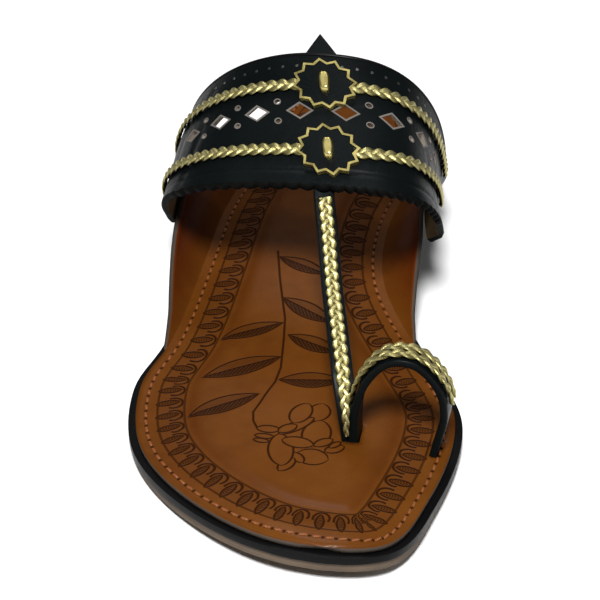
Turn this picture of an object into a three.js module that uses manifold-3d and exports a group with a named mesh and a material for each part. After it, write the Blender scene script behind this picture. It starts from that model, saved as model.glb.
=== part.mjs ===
// A right-foot leather toe-loop sandal: sole, rim, winged insole, arched band, toe strap and toe loop.
// Millimetres. The toe points along -Y, the big-toe side is +X, and the sandal stands on Z = 0.
import * as THREE from 'three';
import Module from 'manifold-3d';
import { mergeVertices } from 'three/addons/utils/BufferGeometryUtils.js';

const wasm = await Module();
wasm.setup();

// Overall sizes of the leather insole
const INSOLE_LENGTH = 250;
const BALL_WIDTH = 92;
const HEEL_WIDTH = 58;

// Sole stack, from the ground up
const OUTSOLE_HEEL = 6.6;
const OUTSOLE_FOREFOOT = 2.6;
const RIM_THICKNESS = 2.2;
const INSOLE_EDGE = 1.3;
const INSOLE_CROWN = 2.0;
const TOE_SPRING = 4.6;
const ARCH_LIFT = 1.5;
const RIM_PROUD = 2.2;
const OUTSOLE_PROUD = 1.6;
const SEAT_GAP = 0.3;

// Wings, the ears of the insole that the band is fastened to
const WING_WALL = 1.8;
const WING_RISE = 18.5;
const WING_BEND_RISE = 14;
const WING_FLARE_MEDIAL = 11;
const WING_FLARE_LATERAL = 8;
const WING_ROOT = 3;

// Band over the instep
const BAND_WALL = 2.0;
const BAND_FRONT_HEIGHT = 55.5;
const BAND_REAR_HEIGHT = 77;
const BAND_BASE_HEIGHT = 29;
const BAND_CROWN_Y = -20.5;
const BAND_CROWN_DEPTH = 40;
const BAND_BASE_Y = 2;
const BAND_BASE_DEPTH = 44;
const BAND_CROWN_X_FRONT = 9;
const BAND_CROWN_X_REAR = -4;
const TRIM_AXIS_FRONT = -3.9;
const TRIM_AXIS_REAR = 0.3;
const BAND_TAIL_FRONT_LATERAL = 8;
const BAND_TAIL_FRONT_MEDIAL = 3.5;
const BAND_TAIL_REAR = 13;
const BAND_TAIL_SLOPE_FRONT = 0.85;
const BAND_TAIL_SLOPE_REAR = 0.35;
const BAND_STAND_OFF = 2.8;
const WING_CLEARANCE = 0.5;
const DIAMOND_LENGTH = 8.4;
const DIAMOND_WIDTH = 6.4;
const DIAMOND_PITCH = 13.4;
const DIAMONDS_EACH_SIDE = 4;
const DIAMONDS_ACROSS = -1.1;
const TAB_WIDTH = 11;
const TAB_LENGTH = 9;
const TAB_DROP = 1.4;
const TAB_ACROSS = -0.7;

// Toe strap and toe loop
const STRAP_WIDTH = 6;
const STRAP_WALL = 2.4;
const STRAP_ACROSS = -2.1;
const STRAP_TUCK = 0.22;
const LOOP_WIDTH = 8;
const LOOP_WALL = 2.2;
const SLOT_CLEARANCE = 0.3;
const POST_X = 18.6;
const POST_Y = -77;
const LOOP_ROOT_X = 21.4;
const LOOP_ROOT_Y = -74;
const LOOP_FOOT_X = 43;
const LOOP_FOOT_Y = -74;
const LOOP_HEIGHT = 31;

// Trim
const BRAID_WIDTH = 4.2;
const BRAID_THICKNESS = 1.8;
const LOOP_BRAID_WIDTH = 6.6;
const BRAID_END = 1.05;
const STRAP_BRAID_FROM = 0.14;
const STRAP_BRAID_TO = 0.84;
const LOOP_BRAID_FROM = 0.27;
const LOOP_BRAID_TO = 0.74;
const ROSETTE_RADIUS = 9.2;
const ROSETTE_THICKNESS = 1.6;
const ROSETTE_POINTS = 12;
const ROSETTE_NOTCH = 0.83;
const STUD_LENGTH = 7.4;
const STUD_WIDTH = 3;
const STUD_HEIGHT = 2.2;

// Where each row of trim lies between the band's front edge (0) and rear edge (1), at the crown and
// at the foot of the arch on each side.
const ROWS = {
  front: { lateral: 0.26, crown: 0.25, medial: 0.46 },
  diamonds: { lateral: 0.48, crown: 0.56, medial: 0.68 },
  rear: { lateral: 0.76, crown: 0.75, medial: 0.87 },
};

// Outline of the insole seen from above: along runs from the toe (-0.5) to the heel (0.5) as a share of
// the length, and across is a share of the named width, positive on the big-toe side.
const OUTLINE = [
  { place: 'heel back', along: 0.5, across: -0.1, of: HEEL_WIDTH },
  { place: 'heel back lateral', along: 0.463, across: -0.466, of: HEEL_WIDTH },
  { place: 'heel lateral', along: 0.375, across: -0.569, of: HEEL_WIDTH },
  { place: 'heel front lateral', along: 0.276, across: -0.6, of: HEEL_WIDTH },
  { place: 'waist rear lateral', along: 0.14, across: -0.42, of: BALL_WIDTH },
  { place: 'waist lateral', along: 0.005, across: -0.424, of: BALL_WIDTH },
  { place: 'ball rear lateral', along: -0.144, across: -0.442, of: BALL_WIDTH },
  { place: 'ball lateral', along: -0.235, across: -0.483, of: BALL_WIDTH },
  { place: 'small toes', along: -0.348, across: -0.41, of: BALL_WIDTH },
  { place: 'third toe', along: -0.442, across: -0.187, of: BALL_WIDTH },
  { place: 'toe tip', along: -0.496, across: 0.1, of: BALL_WIDTH },
  { place: 'big toe tip', along: -0.484, across: 0.382, of: BALL_WIDTH },
  { place: 'big toe side', along: -0.385, across: 0.482, of: BALL_WIDTH },
  { place: 'ball medial', along: -0.238, across: 0.514, of: BALL_WIDTH },
  { place: 'ball rear medial', along: -0.134, across: 0.385, of: BALL_WIDTH },
  { place: 'waist front medial', along: 0.01, across: 0.2, of: BALL_WIDTH },
  { place: 'waist medial', along: 0.144, across: 0.172, of: BALL_WIDTH },
  { place: 'heel front medial', along: 0.279, across: 0.37, of: HEEL_WIDTH },
  { place: 'heel medial', along: 0.378, across: 0.42, of: HEEL_WIDTH },
  { place: 'heel back medial', along: 0.464, across: 0.281, of: HEEL_WIDTH },
];

// Height of the sole's underside and thickness of the outsole along the length, as shares of the toe
// spring and arch lift, and of the step from forefoot to heel thickness.
const PROFILE = [
  { along: -0.5, spring: 1.0, arch: 0, thick: 0 },
  { along: -0.42, spring: 0.42, arch: 0, thick: 0 },
  { along: -0.34, spring: 0.08, arch: 0, thick: 0 },
  { along: -0.28, spring: 0, arch: 0, thick: 0 },
  { along: -0.12, spring: 0, arch: 0, thick: 0.15 },
  { along: 0.05, spring: 0, arch: 1, thick: 0.55 },
  { along: 0.24, spring: 0, arch: 0, thick: 1 },
  { along: 0.5, spring: 0, arch: 0, thick: 1 },
];

// Top line of each wing: rise is a share of WING_RISE.
const WING_LINE_MEDIAL = [
  { along: -0.1, rise: 0 },
  { along: -0.06, rise: 0.17 },
  { along: 0.08, rise: 1 },
  { along: 0.18, rise: 1 },
  { along: 0.24, rise: 0.5 },
  { along: 0.335, rise: 0 },
];
const WING_LINE_LATERAL = [
  { along: -0.16, rise: 0 },
  { along: -0.1, rise: 0.2 },
  { along: 0.08, rise: 1 },
  { along: 0.18, rise: 1 },
  { along: 0.24, rise: 0.5 },
  { along: 0.335, rise: 0 },
];

// How full each shoulder of the arch is, as the exponent of its superellipse, and how far its base
// stands off the wing as a share of BAND_STAND_OFF.
const SHOULDERS = {
  medial: { frontFullness: 3.2, rearFullness: 2.6, frontStandOff: 1, rearStandOff: 0 },
  lateral: { frontFullness: 2.1, rearFullness: 1.9, frontStandOff: 0, rearStandOff: 0.75 },
};

const clamp01 = (value) => Math.min(1, Math.max(0, value));
const vec = (x, y, z) => new THREE.Vector3(x, y, z);
const lerp = THREE.MathUtils.lerp;

// Reads one named column of a table at a place along the length, straight between rows.
function readLine(table, column, along) {
  const last = table.length - 1;
  if (along <= table[0].along) return table[0][column];
  if (along >= table[last].along) return table[last][column];
  const row = table.findIndex((entry) => entry.along > along);
  const share = (along - table[row - 1].along) / (table[row].along - table[row - 1].along);
  return lerp(table[row - 1][column], table[row][column], share);
}

// The same with a smooth run through the rows, for heights that bend gently.
function readSmooth(table, column, along) {
  const last = table.length - 1;
  if (along <= table[0].along) return table[0][column];
  if (along >= table[last].along) return table[last][column];
  const row = table.findIndex((entry) => entry.along > along);
  const slope = (index) => {
    if (index === 0 || index === last) return 0;
    const before = (table[index][column] - table[index - 1][column])
      / (table[index].along - table[index - 1].along);
    const after = (table[index + 1][column] - table[index][column])
      / (table[index + 1].along - table[index].along);
    return before * after <= 0 ? 0 : (2 * before * after) / (before + after);
  };
  const span = table[row].along - table[row - 1].along;
  const t = (along - table[row - 1].along) / span;
  const a = table[row - 1][column];
  const b = table[row][column];
  const startSlope = row === 1 ? (b - a) / span * 1.4 : slope(row - 1);
  return a * (2 * t ** 3 - 3 * t ** 2 + 1) + b * (3 * t ** 2 - 2 * t ** 3)
    + startSlope * span * (t ** 3 - 2 * t ** 2 + t) + slope(row) * span * (t ** 3 - t ** 2);
}

// Sole outline as a dense closed line, moved outwards by a distance.
const OUTLINE_STEPS = 480;
const outlineCurve = new THREE.CatmullRomCurve3(
  OUTLINE.map((row) => vec(row.across * row.of, row.along * INSOLE_LENGTH, 0)),
  true,
  'centripetal',
);
const outlinePoints = outlineCurve.getSpacedPoints(OUTLINE_STEPS).slice(0, OUTLINE_STEPS);

function offsetOutline(distance) {
  return outlinePoints.map((point, index) => {
    const before = outlinePoints[(index + OUTLINE_STEPS - 1) % OUTLINE_STEPS];
    const after = outlinePoints[(index + 1) % OUTLINE_STEPS];
    const way = after.clone().sub(before).normalize();
    return vec(point.x - way.y * distance, point.y + way.x * distance, 0);
  });
}

// The first point is at the heel and the line then runs down the lateral side, so the outward side is
// on the right of the way; this sign makes a positive distance grow the outline.
const OUTWARD = Math.sign(offsetOutline(1)[0].y - outlinePoints[0].y);

const outlineCache = new Map();
function outlineAt(distance) {
  if (!outlineCache.has(distance)) outlineCache.set(distance, offsetOutline(distance * OUTWARD));
  return outlineCache.get(distance);
}

// Lowest and highest y of an outline, and its two edges at one y.
function reach(distance) {
  const ys = outlineAt(distance).map((point) => point.y);
  return { toe: Math.min(...ys), heel: Math.max(...ys) };
}

function edges(distance, y) {
  const line = outlineAt(distance);
  let lateral = Infinity;
  let medial = -Infinity;
  for (let index = 0; index < line.length; index += 1) {
    const a = line[index];
    const b = line[(index + 1) % line.length];
    if ((a.y - y) * (b.y - y) > 0 || a.y === b.y) continue;
    const x = lerp(a.x, b.x, (y - a.y) / (b.y - a.y));
    lateral = Math.min(lateral, x);
    medial = Math.max(medial, x);
  }
  return { lateral, medial };
}

// Heights of the sole's layers at one y.
const alongOf = (y) => y / INSOLE_LENGTH;
const ground = (y) => TOE_SPRING * readSmooth(PROFILE, 'spring', alongOf(y))
  + ARCH_LIFT * readSmooth(PROFILE, 'arch', alongOf(y));
const outsoleTop = (y) => ground(y) + lerp(OUTSOLE_FOREFOOT, OUTSOLE_HEEL,
  readSmooth(PROFILE, 'thick', alongOf(y)));
const rimBottom = (y) => outsoleTop(y) + SEAT_GAP;
const rimTop = (y) => rimBottom(y) + RIM_THICKNESS;
const insoleBottom = (y) => rimTop(y) + SEAT_GAP;
const insoleEdge = (y) => insoleBottom(y) + INSOLE_EDGE;

// Places along an outline for the sections of a sole layer, closer together at the round ends.
const TIP_SHY = 0.02;
function stations(distance, count, extra = []) {
  const { toe, heel } = reach(distance);
  const middle = (toe + heel) / 2;
  const half = (heel - toe) / 2 - TIP_SHY;
  const places = [];
  for (let index = 0; index <= count; index += 1) {
    places.push(middle - half * Math.cos((Math.PI * index) / count));
  }
  const spacing = 2.5;
  for (const y of extra) {
    const near = places.findIndex((place) => Math.abs(place - y) < spacing);
    if (near >= 0) places[near] = y;
    else places.push(y);
  }
  return places.sort((a, b) => a - b);
}

// A closed solid through rings of points; the two ends are filled in the plane named by the axes.
function loft(rings, capAxes) {
  const count = rings[0].length;
  const positions = rings.flat().flatMap((point) => [point.x, point.y, point.z]);
  const faces = [];
  for (let ring = 0; ring + 1 < rings.length; ring += 1) {
    for (let index = 0; index < count; index += 1) {
      const next = (index + 1) % count;
      const a = ring * count + index;
      const b = ring * count + next;
      faces.push(a, b, a + count, b, b + count, a + count);
    }
  }
  const flat = (ring) => ring.map((point) => new THREE.Vector2(point[capAxes[0]], point[capAxes[1]]));
  const cap = THREE.ShapeUtils.triangulateShape(flat(rings[0]), []);
  const endCap = THREE.ShapeUtils.triangulateShape(flat(rings[rings.length - 1]), []);
  const start = (rings.length - 1) * count;
  const turned = THREE.ShapeUtils.isClockWise(flat(rings[0]));
  const endTurned = THREE.ShapeUtils.isClockWise(flat(rings[rings.length - 1]));
  for (const [a, b, c] of cap) faces.push(...(turned ? [a, b, c] : [c, b, a]));
  for (const [a, b, c] of endCap) {
    const order = endTurned ? [c, b, a] : [a, b, c];
    faces.push(...order.map((index) => index + start));
  }
  return outwardFacing(positions, faces);
}

// Turns the faces round if they enclose a negative volume.
function outwardFacing(positions, faces) {
  let volume = 0;
  const at = (index) => vec(positions[3 * index], positions[3 * index + 1], positions[3 * index + 2]);
  for (let face = 0; face < faces.length; face += 3) {
    volume += at(faces[face]).dot(at(faces[face + 1]).cross(at(faces[face + 2])));
  }
  if (volume < 0) faces.reverse();
  const geometry = new THREE.BufferGeometry();
  geometry.setAttribute('position', new THREE.Float32BufferAttribute(positions, 3));
  geometry.setIndex(faces);
  return geometry;
}

// Joins and cuts
function toSolid(geometry) {
  const bare = geometry.clone();
  bare.deleteAttribute('normal');
  bare.deleteAttribute('uv');
  const merged = mergeVertices(bare, 1e-4);
  return new wasm.Manifold(new wasm.Mesh({
    numProp: 3,
    vertProperties: Float32Array.from(merged.attributes.position.array),
    triVerts: Uint32Array.from(merged.index.array),
  }));
}

function toGeometry(solid) {
  const mesh = solid.getMesh();
  const geometry = new THREE.BufferGeometry();
  geometry.setAttribute('position', new THREE.Float32BufferAttribute(mesh.vertProperties, 3));
  geometry.setIndex(Array.from(mesh.triVerts));
  return geometry;
}

// Sole layers: each section is a rounded slab between two heights
function slabSection(distance, y, low, high, rounding) {
  const { lateral, medial } = edges(distance, y);
  const bevel = Math.min(rounding, (medial - lateral) / 3, (high - low) / 2.2);
  const middle = (lateral + medial) / 2;
  return [
    vec(lateral + bevel, y, low),
    vec(middle, y, low),
    vec(medial - bevel, y, low),
    vec(medial, y, low + bevel),
    vec(medial, y, high - bevel),
    vec(medial - bevel, y, high),
    vec(middle, y, high),
    vec(lateral + bevel, y, high),
    vec(lateral, y, high - bevel),
    vec(lateral, y, low + bevel),
  ];
}

const SOLE_SECTIONS = 44;
function soleLayer(distance, low, high, rounding) {
  const rings = stations(distance, SOLE_SECTIONS).map((y) => (
    slabSection(distance, y, low(y), high(y), rounding)));
  return loft(rings, ['x', 'z']);
}

// Wings: the inner face leaves the insole's edge at a slant and bends upright at WING_BEND_RISE
const WINGS = {
  medial: { side: 1, flare: WING_FLARE_MEDIAL, line: WING_LINE_MEDIAL },
  lateral: { side: -1, flare: WING_FLARE_LATERAL, line: WING_LINE_LATERAL },
};
const WING_BEND = 1.5;

// A point of a wing at a rise above the insole's edge, moved outwards through the wall.
function wingFace(wing, y, rise, outwards) {
  const left = 1 - clamp01(rise / WING_BEND_RISE);
  const flare = wing.flare * (1 - left ** WING_BEND);
  const slant = (wing.flare * WING_BEND * left ** (WING_BEND - 1)) / WING_BEND_RISE;
  const size = Math.hypot(1, slant);
  const edge = edges(0, y)[wing.side > 0 ? 'medial' : 'lateral'];
  return vec(
    edge + wing.side * (flare + outwards / size),
    y,
    insoleEdge(y) + rise - (outwards * slant) / size,
  );
}

const wingTop = (wing, y) => WING_RISE * readLine(wing.line, 'rise', alongOf(y));

// The outside of a wing at one height, found by halving.
function wingOutside(wing, y, z) {
  let low = 0;
  let high = BAND_REAR_HEIGHT;
  for (let step = 0; step < 30; step += 1) {
    const middle = (low + high) / 2;
    if (wingFace(wing, y, middle, WING_WALL).z < z) low = middle;
    else high = middle;
  }
  return wingFace(wing, y, low, WING_WALL).x;
}

// One section of the insole: wings at both sides, a crowned pad between them and a flat underside.
const WING_STEPS = 5;
const PAD_STEPS = 8;
function insoleSection(y) {
  const { lateral, medial } = edges(0, y);
  const root = Math.min(WING_ROOT, (medial - lateral) / 4);
  const steps = Array.from({ length: WING_STEPS + 1 }, (_, index) => index / WING_STEPS);
  const wall = (rise) => lerp(INSOLE_EDGE, WING_WALL, clamp01(rise / INSOLE_CROWN));
  const face = (wing, inner) => steps.slice(1).map((share) => {
    const rise = wingTop(wing, y) * share;
    if (rise === 0) {
      const edge = wing.side > 0 ? medial : lateral;
      return vec(edge - wing.side * root * (1 - share) * 0.5, y, insoleEdge(y) - (inner ? 0 : INSOLE_EDGE));
    }
    return wingFace(wing, y, rise, inner ? 0 : wall(rise));
  });
  const pad = Array.from({ length: PAD_STEPS + 1 }, (_, index) => {
    const share = (2 * index) / PAD_STEPS - 1;
    const width = (medial - lateral) / 2 - root;
    const rise = INSOLE_CROWN * clamp01(width / 20) * (1 - Math.abs(share) ** 3);
    return vec((lateral + medial) / 2 + share * width, y, insoleEdge(y) + rise);
  });
  const under = [medial - root, (medial + lateral) / 2, lateral + root].map((x) => (
    vec(x, y, insoleBottom(y))));
  return [
    ...face(WINGS.lateral, true).reverse(),
    ...pad,
    ...face(WINGS.medial, true),
    ...face(WINGS.medial, false).reverse(),
    ...under,
    ...face(WINGS.lateral, false),
  ];
}

const INSOLE_SECTIONS = 46;
function insoleBody() {
  const corners = [...WING_LINE_MEDIAL, ...WING_LINE_LATERAL].map((row) => row.along * INSOLE_LENGTH);
  const rings = stations(0, INSOLE_SECTIONS, [...new Set(corners)]).map(insoleSection);
  return loft(rings, ['x', 'z']);
}

// Band: the inner face of the arch at a place across (share of the half arch, -1 lateral to 1 medial,
// past that the tail down the wing) and along (0 front edge to 1 rear edge).
const ARCH_SAMPLES = 60;

// How far the band's inner face keeps from the wing at its base; down the tail it closes in.
function bandClearance(wing, along) {
  const shoulder = wing.side > 0 ? SHOULDERS.medial : SHOULDERS.lateral;
  return BAND_STAND_OFF * lerp(shoulder.frontStandOff, shoulder.rearStandOff, along);
}

function archPoint(along, angle) {
  const wing = angle < Math.PI / 2 ? WINGS.lateral : WINGS.medial;
  const baseY = BAND_BASE_Y + BAND_BASE_DEPTH * along;
  const crownY = BAND_CROWN_Y + BAND_CROWN_DEPTH * along;
  const baseZ = BAND_BASE_HEIGHT;
  const crownZ = lerp(BAND_FRONT_HEIGHT, BAND_REAR_HEIGHT, along);
  const standOff = WING_CLEARANCE + bandClearance(wing, along);
  const baseX = wingOutside(wing, baseY, baseZ) + wing.side * standOff;
  const shoulder = wing.side > 0 ? SHOULDERS.medial : SHOULDERS.lateral;
  const fullness = lerp(shoulder.frontFullness, shoulder.rearFullness, along);
  const lift = Math.sin(angle) ** (2 / fullness);
  const spread = Math.abs(Math.cos(angle)) ** (2 / fullness);
  const x = lerp(lerp(BAND_CROWN_X_FRONT, BAND_CROWN_X_REAR, along), baseX, spread);
  return vec(x, lerp(baseY, crownY, lift), lerp(baseZ, crownZ, lift));
}

function halfArch(along, side) {
  const points = [];
  for (let index = 0; index <= ARCH_SAMPLES; index += 1) {
    const turn = (Math.PI / 2) * (index / ARCH_SAMPLES);
    points.push(archPoint(along, side > 0 ? Math.PI / 2 + turn : Math.PI / 2 - turn));
  }
  points[ARCH_SAMPLES] = archPoint(along, side > 0 ? Math.PI : 0);
  return points;
}

function pointAtShare(points, share) {
  const lengths = [0];
  for (let index = 1; index < points.length; index += 1) {
    lengths.push(lengths[index - 1] + points[index].distanceTo(points[index - 1]));
  }
  const total = lengths[lengths.length - 1];
  const wanted = share * total;
  let index = lengths.findIndex((length) => length >= wanted);
  index = Math.max(1, index < 0 ? points.length - 1 : index);
  const local = (wanted - lengths[index - 1]) / (lengths[index] - lengths[index - 1]);
  return { point: points[index - 1].clone().lerp(points[index], local), total };
}

const archCache = new Map();
function arch(along, side) {
  const key = `${along.toFixed(5)}/${side}`;
  if (!archCache.has(key)) archCache.set(key, halfArch(along, side));
  return archCache.get(key);
}

function bandInside(across, along) {
  const side = across < 0 ? -1 : 1;
  const share = Math.abs(across);
  if (share <= 1) return pointAtShare(arch(along, side), share).point;
  const wing = side > 0 ? WINGS.medial : WINGS.lateral;
  const base = arch(along, side)[ARCH_SAMPLES];
  const front = side > 0 ? BAND_TAIL_FRONT_MEDIAL : BAND_TAIL_FRONT_LATERAL;
  const drop = (share - 1) * lerp(front, BAND_TAIL_REAR, along);
  const y = base.y + drop * lerp(BAND_TAIL_SLOPE_FRONT, BAND_TAIL_SLOPE_REAR, along);
  const standOff = WING_CLEARANCE + bandClearance(wing, along) * clamp01(2 - share);
  const x = wingOutside(wing, y, base.z - drop) + side * standOff;
  return vec(x, y, base.z - drop);
}

// Outward normal of the band, from small steps both ways, and a point raised above its inner face.
const NORMAL_STEP = 0.004;
function bandNormal(across, along) {
  const a = bandInside(across + NORMAL_STEP, along).sub(bandInside(across - NORMAL_STEP, along));
  const b = bandInside(across, along + NORMAL_STEP).sub(bandInside(across, along - NORMAL_STEP));
  return b.cross(a).normalize().multiplyScalar(-1);
}

function onBand(across, along, height) {
  return bandInside(across, along).addScaledVector(bandNormal(across, along), height);
}

// A sheet of leather between an inner and an outer grid of points.
function sheet(inner, outer) {
  const rows = inner.length;
  const columns = inner[0].length;
  const rings = [];
  for (let row = 0; row < rows; row += 1) {
    rings.push([...inner[row], ...[...outer[row]].reverse()]);
  }
  const count = columns * 2;
  const positions = rings.flat().flatMap((point) => [point.x, point.y, point.z]);
  const faces = [];
  for (let row = 0; row + 1 < rows; row += 1) {
    for (let index = 0; index < count; index += 1) {
      const next = (index + 1) % count;
      const a = row * count + index;
      const b = row * count + next;
      faces.push(a, b, a + count, b, b + count, a + count);
    }
  }
  for (const [row, flip] of [[0, false], [rows - 1, true]]) {
    for (let index = 0; index + 1 < columns; index += 1) {
      const a = row * count + index;
      const b = a + 1;
      const c = row * count + count - 1 - index;
      const d = c - 1;
      faces.push(...(flip ? [a, b, c, b, d, c] : [a, c, b, b, c, d]));
    }
  }
  return outwardFacing(positions, faces);
}

const BAND_ROWS = 9;
const BAND_HALF_COLUMNS = 20;
const TAIL_STEPS = 2;
function bandBody() {
  const acrosses = [];
  for (let step = TAIL_STEPS; step > 0; step -= 1) acrosses.push(-1 - step / TAIL_STEPS);
  for (let step = -BAND_HALF_COLUMNS; step <= BAND_HALF_COLUMNS; step += 1) {
    acrosses.push(step / BAND_HALF_COLUMNS);
  }
  for (let step = 1; step <= TAIL_STEPS; step += 1) acrosses.push(1 + step / TAIL_STEPS);
  const inner = [];
  const outer = [];
  for (let row = 0; row <= BAND_ROWS; row += 1) {
    const along = row / BAND_ROWS;
    inner.push(acrosses.map((across) => bandInside(across, along)));
    outer.push(acrosses.map((across) => onBand(across, along, BAND_WALL)));
  }
  return sheet(inner, outer);
}

// A place on the band given in millimetres across from the trim's axis, as a share of the arch.
function acrossShare(distance, along) {
  const fromCrown = distance + lerp(TRIM_AXIS_FRONT, TRIM_AXIS_REAR, along);
  return fromCrown / pointAtShare(arch(along, Math.sign(fromCrown) || 1), 1).total;
}

// Where a row of trim lies at a share of the arch.
function rowAt(row, across) {
  const foot = across < 0 ? row.lateral : row.medial;
  return lerp(row.crown, foot, clamp01(Math.abs(across)) ** 2);
}

// The share of the band's depth that one millimetre takes up near the crown.
function alongScale(along) {
  const step = 0.02;
  return (2 * step) / bandInside(0, along + step).distanceTo(bandInside(0, along - step));
}

// A ring over the band at one height, from an outline in millimetres around a place on a row.
function bandRing(across, row, outline, height) {
  return outline.map(([dx, dy]) => {
    const along = row + dy * alongScale(row);
    return onBand(acrossShare(across + dx, along), along, height);
  });
}

// A prism through the band over a closed outline.
function bandPrism(across, row, outline, low, high) {
  return loft([bandRing(across, row, outline, low), bandRing(across, row, outline, high)], ['x', 'y']);
}

const CUT_MARGIN = 3;
function diamondCut(across) {
  const outline = [
    [DIAMOND_LENGTH / 2, 0], [0, DIAMOND_WIDTH / 2], [-DIAMOND_LENGTH / 2, 0], [0, -DIAMOND_WIDTH / 2],
  ];
  const row = rowAt(ROWS.diamonds, acrossShare(across, ROWS.diamonds.crown));
  return bandPrism(across, row, outline, -CUT_MARGIN, BAND_WALL + CUT_MARGIN);
}

// Pointed tab that shows behind the crown, lying against the inside of the band.
function tab() {
  const under = 8;
  const outline = [
    [-TAB_WIDTH / 2, -under], [TAB_WIDTH / 2, -under], [TAB_WIDTH / 2, 0.5], [0, TAB_LENGTH], [-TAB_WIDTH / 2, 0.5],
  ];
  return bandPrism(TAB_ACROSS, 1, outline, -TAB_DROP, BAND_WALL - TAB_DROP);
}

// A strap along a curve: a flat section with softened corners, laid out by a side direction.
function strapBody(curve, sideAt, width, wall, lift, steps) {
  const corner = Math.min(wall, width) * 0.22;
  const w = width / 2;
  const section = [
    [-w + corner, 0], [w - corner, 0], [w, corner], [w, wall - corner],
    [w - corner, wall], [-w + corner, wall], [-w, wall - corner], [-w, corner],
  ];
  const rings = [];
  for (let step = 0; step <= steps; step += 1) {
    const t = step / steps;
    const centre = curve.getPointAt(t);
    const way = curve.getTangentAt(t);
    const side = sideAt(t).clone().addScaledVector(way, -sideAt(t).dot(way)).normalize();
    const up = side.clone().cross(way).normalize();
    rings.push(section.map(([across, height]) => (
      centre.clone().addScaledVector(side, across).addScaledVector(up, height + lift))));
  }
  return fanLoft(rings);
}

// A closed solid through convex rings that may turn in space, with its ends filled by fans.
function fanLoft(rings) {
  const count = rings[0].length;
  const positions = rings.flat().flatMap((point) => [point.x, point.y, point.z]);
  const faces = [];
  for (let ring = 0; ring + 1 < rings.length; ring += 1) {
    for (let index = 0; index < count; index += 1) {
      const next = (index + 1) % count;
      const a = ring * count + index;
      const b = ring * count + next;
      faces.push(a, b, a + count, b, b + count, a + count);
    }
  }
  const start = (rings.length - 1) * count;
  for (let index = 1; index + 1 < count; index += 1) {
    faces.push(0, index + 1, index);
    faces.push(start, start + index, start + index + 1);
  }
  return outwardFacing(positions, faces);
}

// Toe strap: from under the band's front edge down to the post between the first two toes
function strapCurve(depth) {
  const start = bandInside(acrossShare(STRAP_ACROSS, STRAP_TUCK), STRAP_TUCK);
  const front = bandInside(acrossShare(STRAP_ACROSS, 0), 0);
  const seat = insoleBottom(POST_Y) + SEAT_GAP;
  return new THREE.CatmullRomCurve3([
    vec(start.x, start.y, start.z - STRAP_WALL * 0.2),
    vec(front.x, front.y, front.z - STRAP_WALL),
    vec(lerp(front.x, POST_X, 0.19), lerp(front.y, POST_Y, 0.19), lerp(front.z, seat, 0.2)),
    vec(lerp(front.x, POST_X, 0.4), lerp(front.y, POST_Y, 0.42), lerp(front.z, seat, 0.36)),
    vec(lerp(front.x, POST_X, 0.65), lerp(front.y, POST_Y, 0.67), lerp(front.z, seat, 0.48)),
    vec(lerp(front.x, POST_X, 0.86), lerp(front.y, POST_Y, 0.88), lerp(front.z, seat, 0.6)),
    vec(lerp(front.x, POST_X, 0.97), lerp(front.y, POST_Y, 0.99), lerp(front.z, seat, 0.76)),
    vec(POST_X, POST_Y, lerp(front.z, seat, 0.9)),
    vec(POST_X, POST_Y, seat - depth),
  ], false, 'centripetal');
}

// Toe loop: from the post over the big toe to its slot at the medial side
const LOOP_TABLE = [
  { across: 0.0, height: 0.45 },
  { across: 0.13, height: 0.75 },
  { across: 0.4, height: 0.97 },
  { across: 0.74, height: 0.97 },
  { across: 1.05, height: 0.73 },
  { across: 1.13, height: 0.45 },
  { across: 1.07, height: 0.2 },
];
function loopCurve(depth) {
  const at = (across, z) => vec(
    lerp(LOOP_ROOT_X, LOOP_FOOT_X, across), lerp(LOOP_ROOT_Y, LOOP_FOOT_Y, across), z);
  return new THREE.CatmullRomCurve3([
    at(0.0, insoleBottom(LOOP_ROOT_Y) + SEAT_GAP - depth),
    at(-0.02, insoleEdge(LOOP_ROOT_Y) + 0.18 * LOOP_HEIGHT),
    ...LOOP_TABLE.map((row) => at(row.across, insoleEdge(LOOP_ROOT_Y) + row.height * LOOP_HEIGHT)),
    at(1.0, insoleBottom(LOOP_FOOT_Y) + SEAT_GAP - depth),
  ], false, 'centripetal');
}

const STRAP_STEPS = 26;
const LOOP_STEPS = 32;
const strapSide = () => vec(1, 0.25, 0);
const loopSide = () => vec(0.06, 1, 0);
const strapBand = (grow, depth) => toSolid(strapBody(strapCurve(depth), strapSide,
  STRAP_WIDTH + 2 * grow, STRAP_WALL + 2 * grow, -STRAP_WALL / 2 - grow, STRAP_STEPS));
const loopBand = (grow, depth) => toSolid(strapBody(loopCurve(depth), loopSide,
  LOOP_WIDTH + 2 * grow, LOOP_WALL + 2 * grow, -LOOP_WALL / 2 - grow, LOOP_STEPS));

function buildUpper() {
  let solid = toSolid(bandBody());
  for (let count = 0; count < DIAMONDS_EACH_SIDE * 2; count += 1) {
    const across = DIAMONDS_ACROSS + (count + 0.5 - DIAMONDS_EACH_SIDE) * DIAMOND_PITCH;
    solid = solid.subtract(toSolid(diamondCut(across)));
  }
  solid = solid.add(toSolid(tab()));
  return toGeometry(solid.add(strapBand(0, 0)).add(loopBand(0, 0)));
}

// The insole's slots are the straps themselves, grown by a clearance and run right through it.
function buildInsole() {
  const slots = strapBand(SLOT_CLEARANCE, 1).add(loopBand(SLOT_CLEARANCE, 1));
  return toGeometry(toSolid(insoleBody()).subtract(slots));
}

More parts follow.
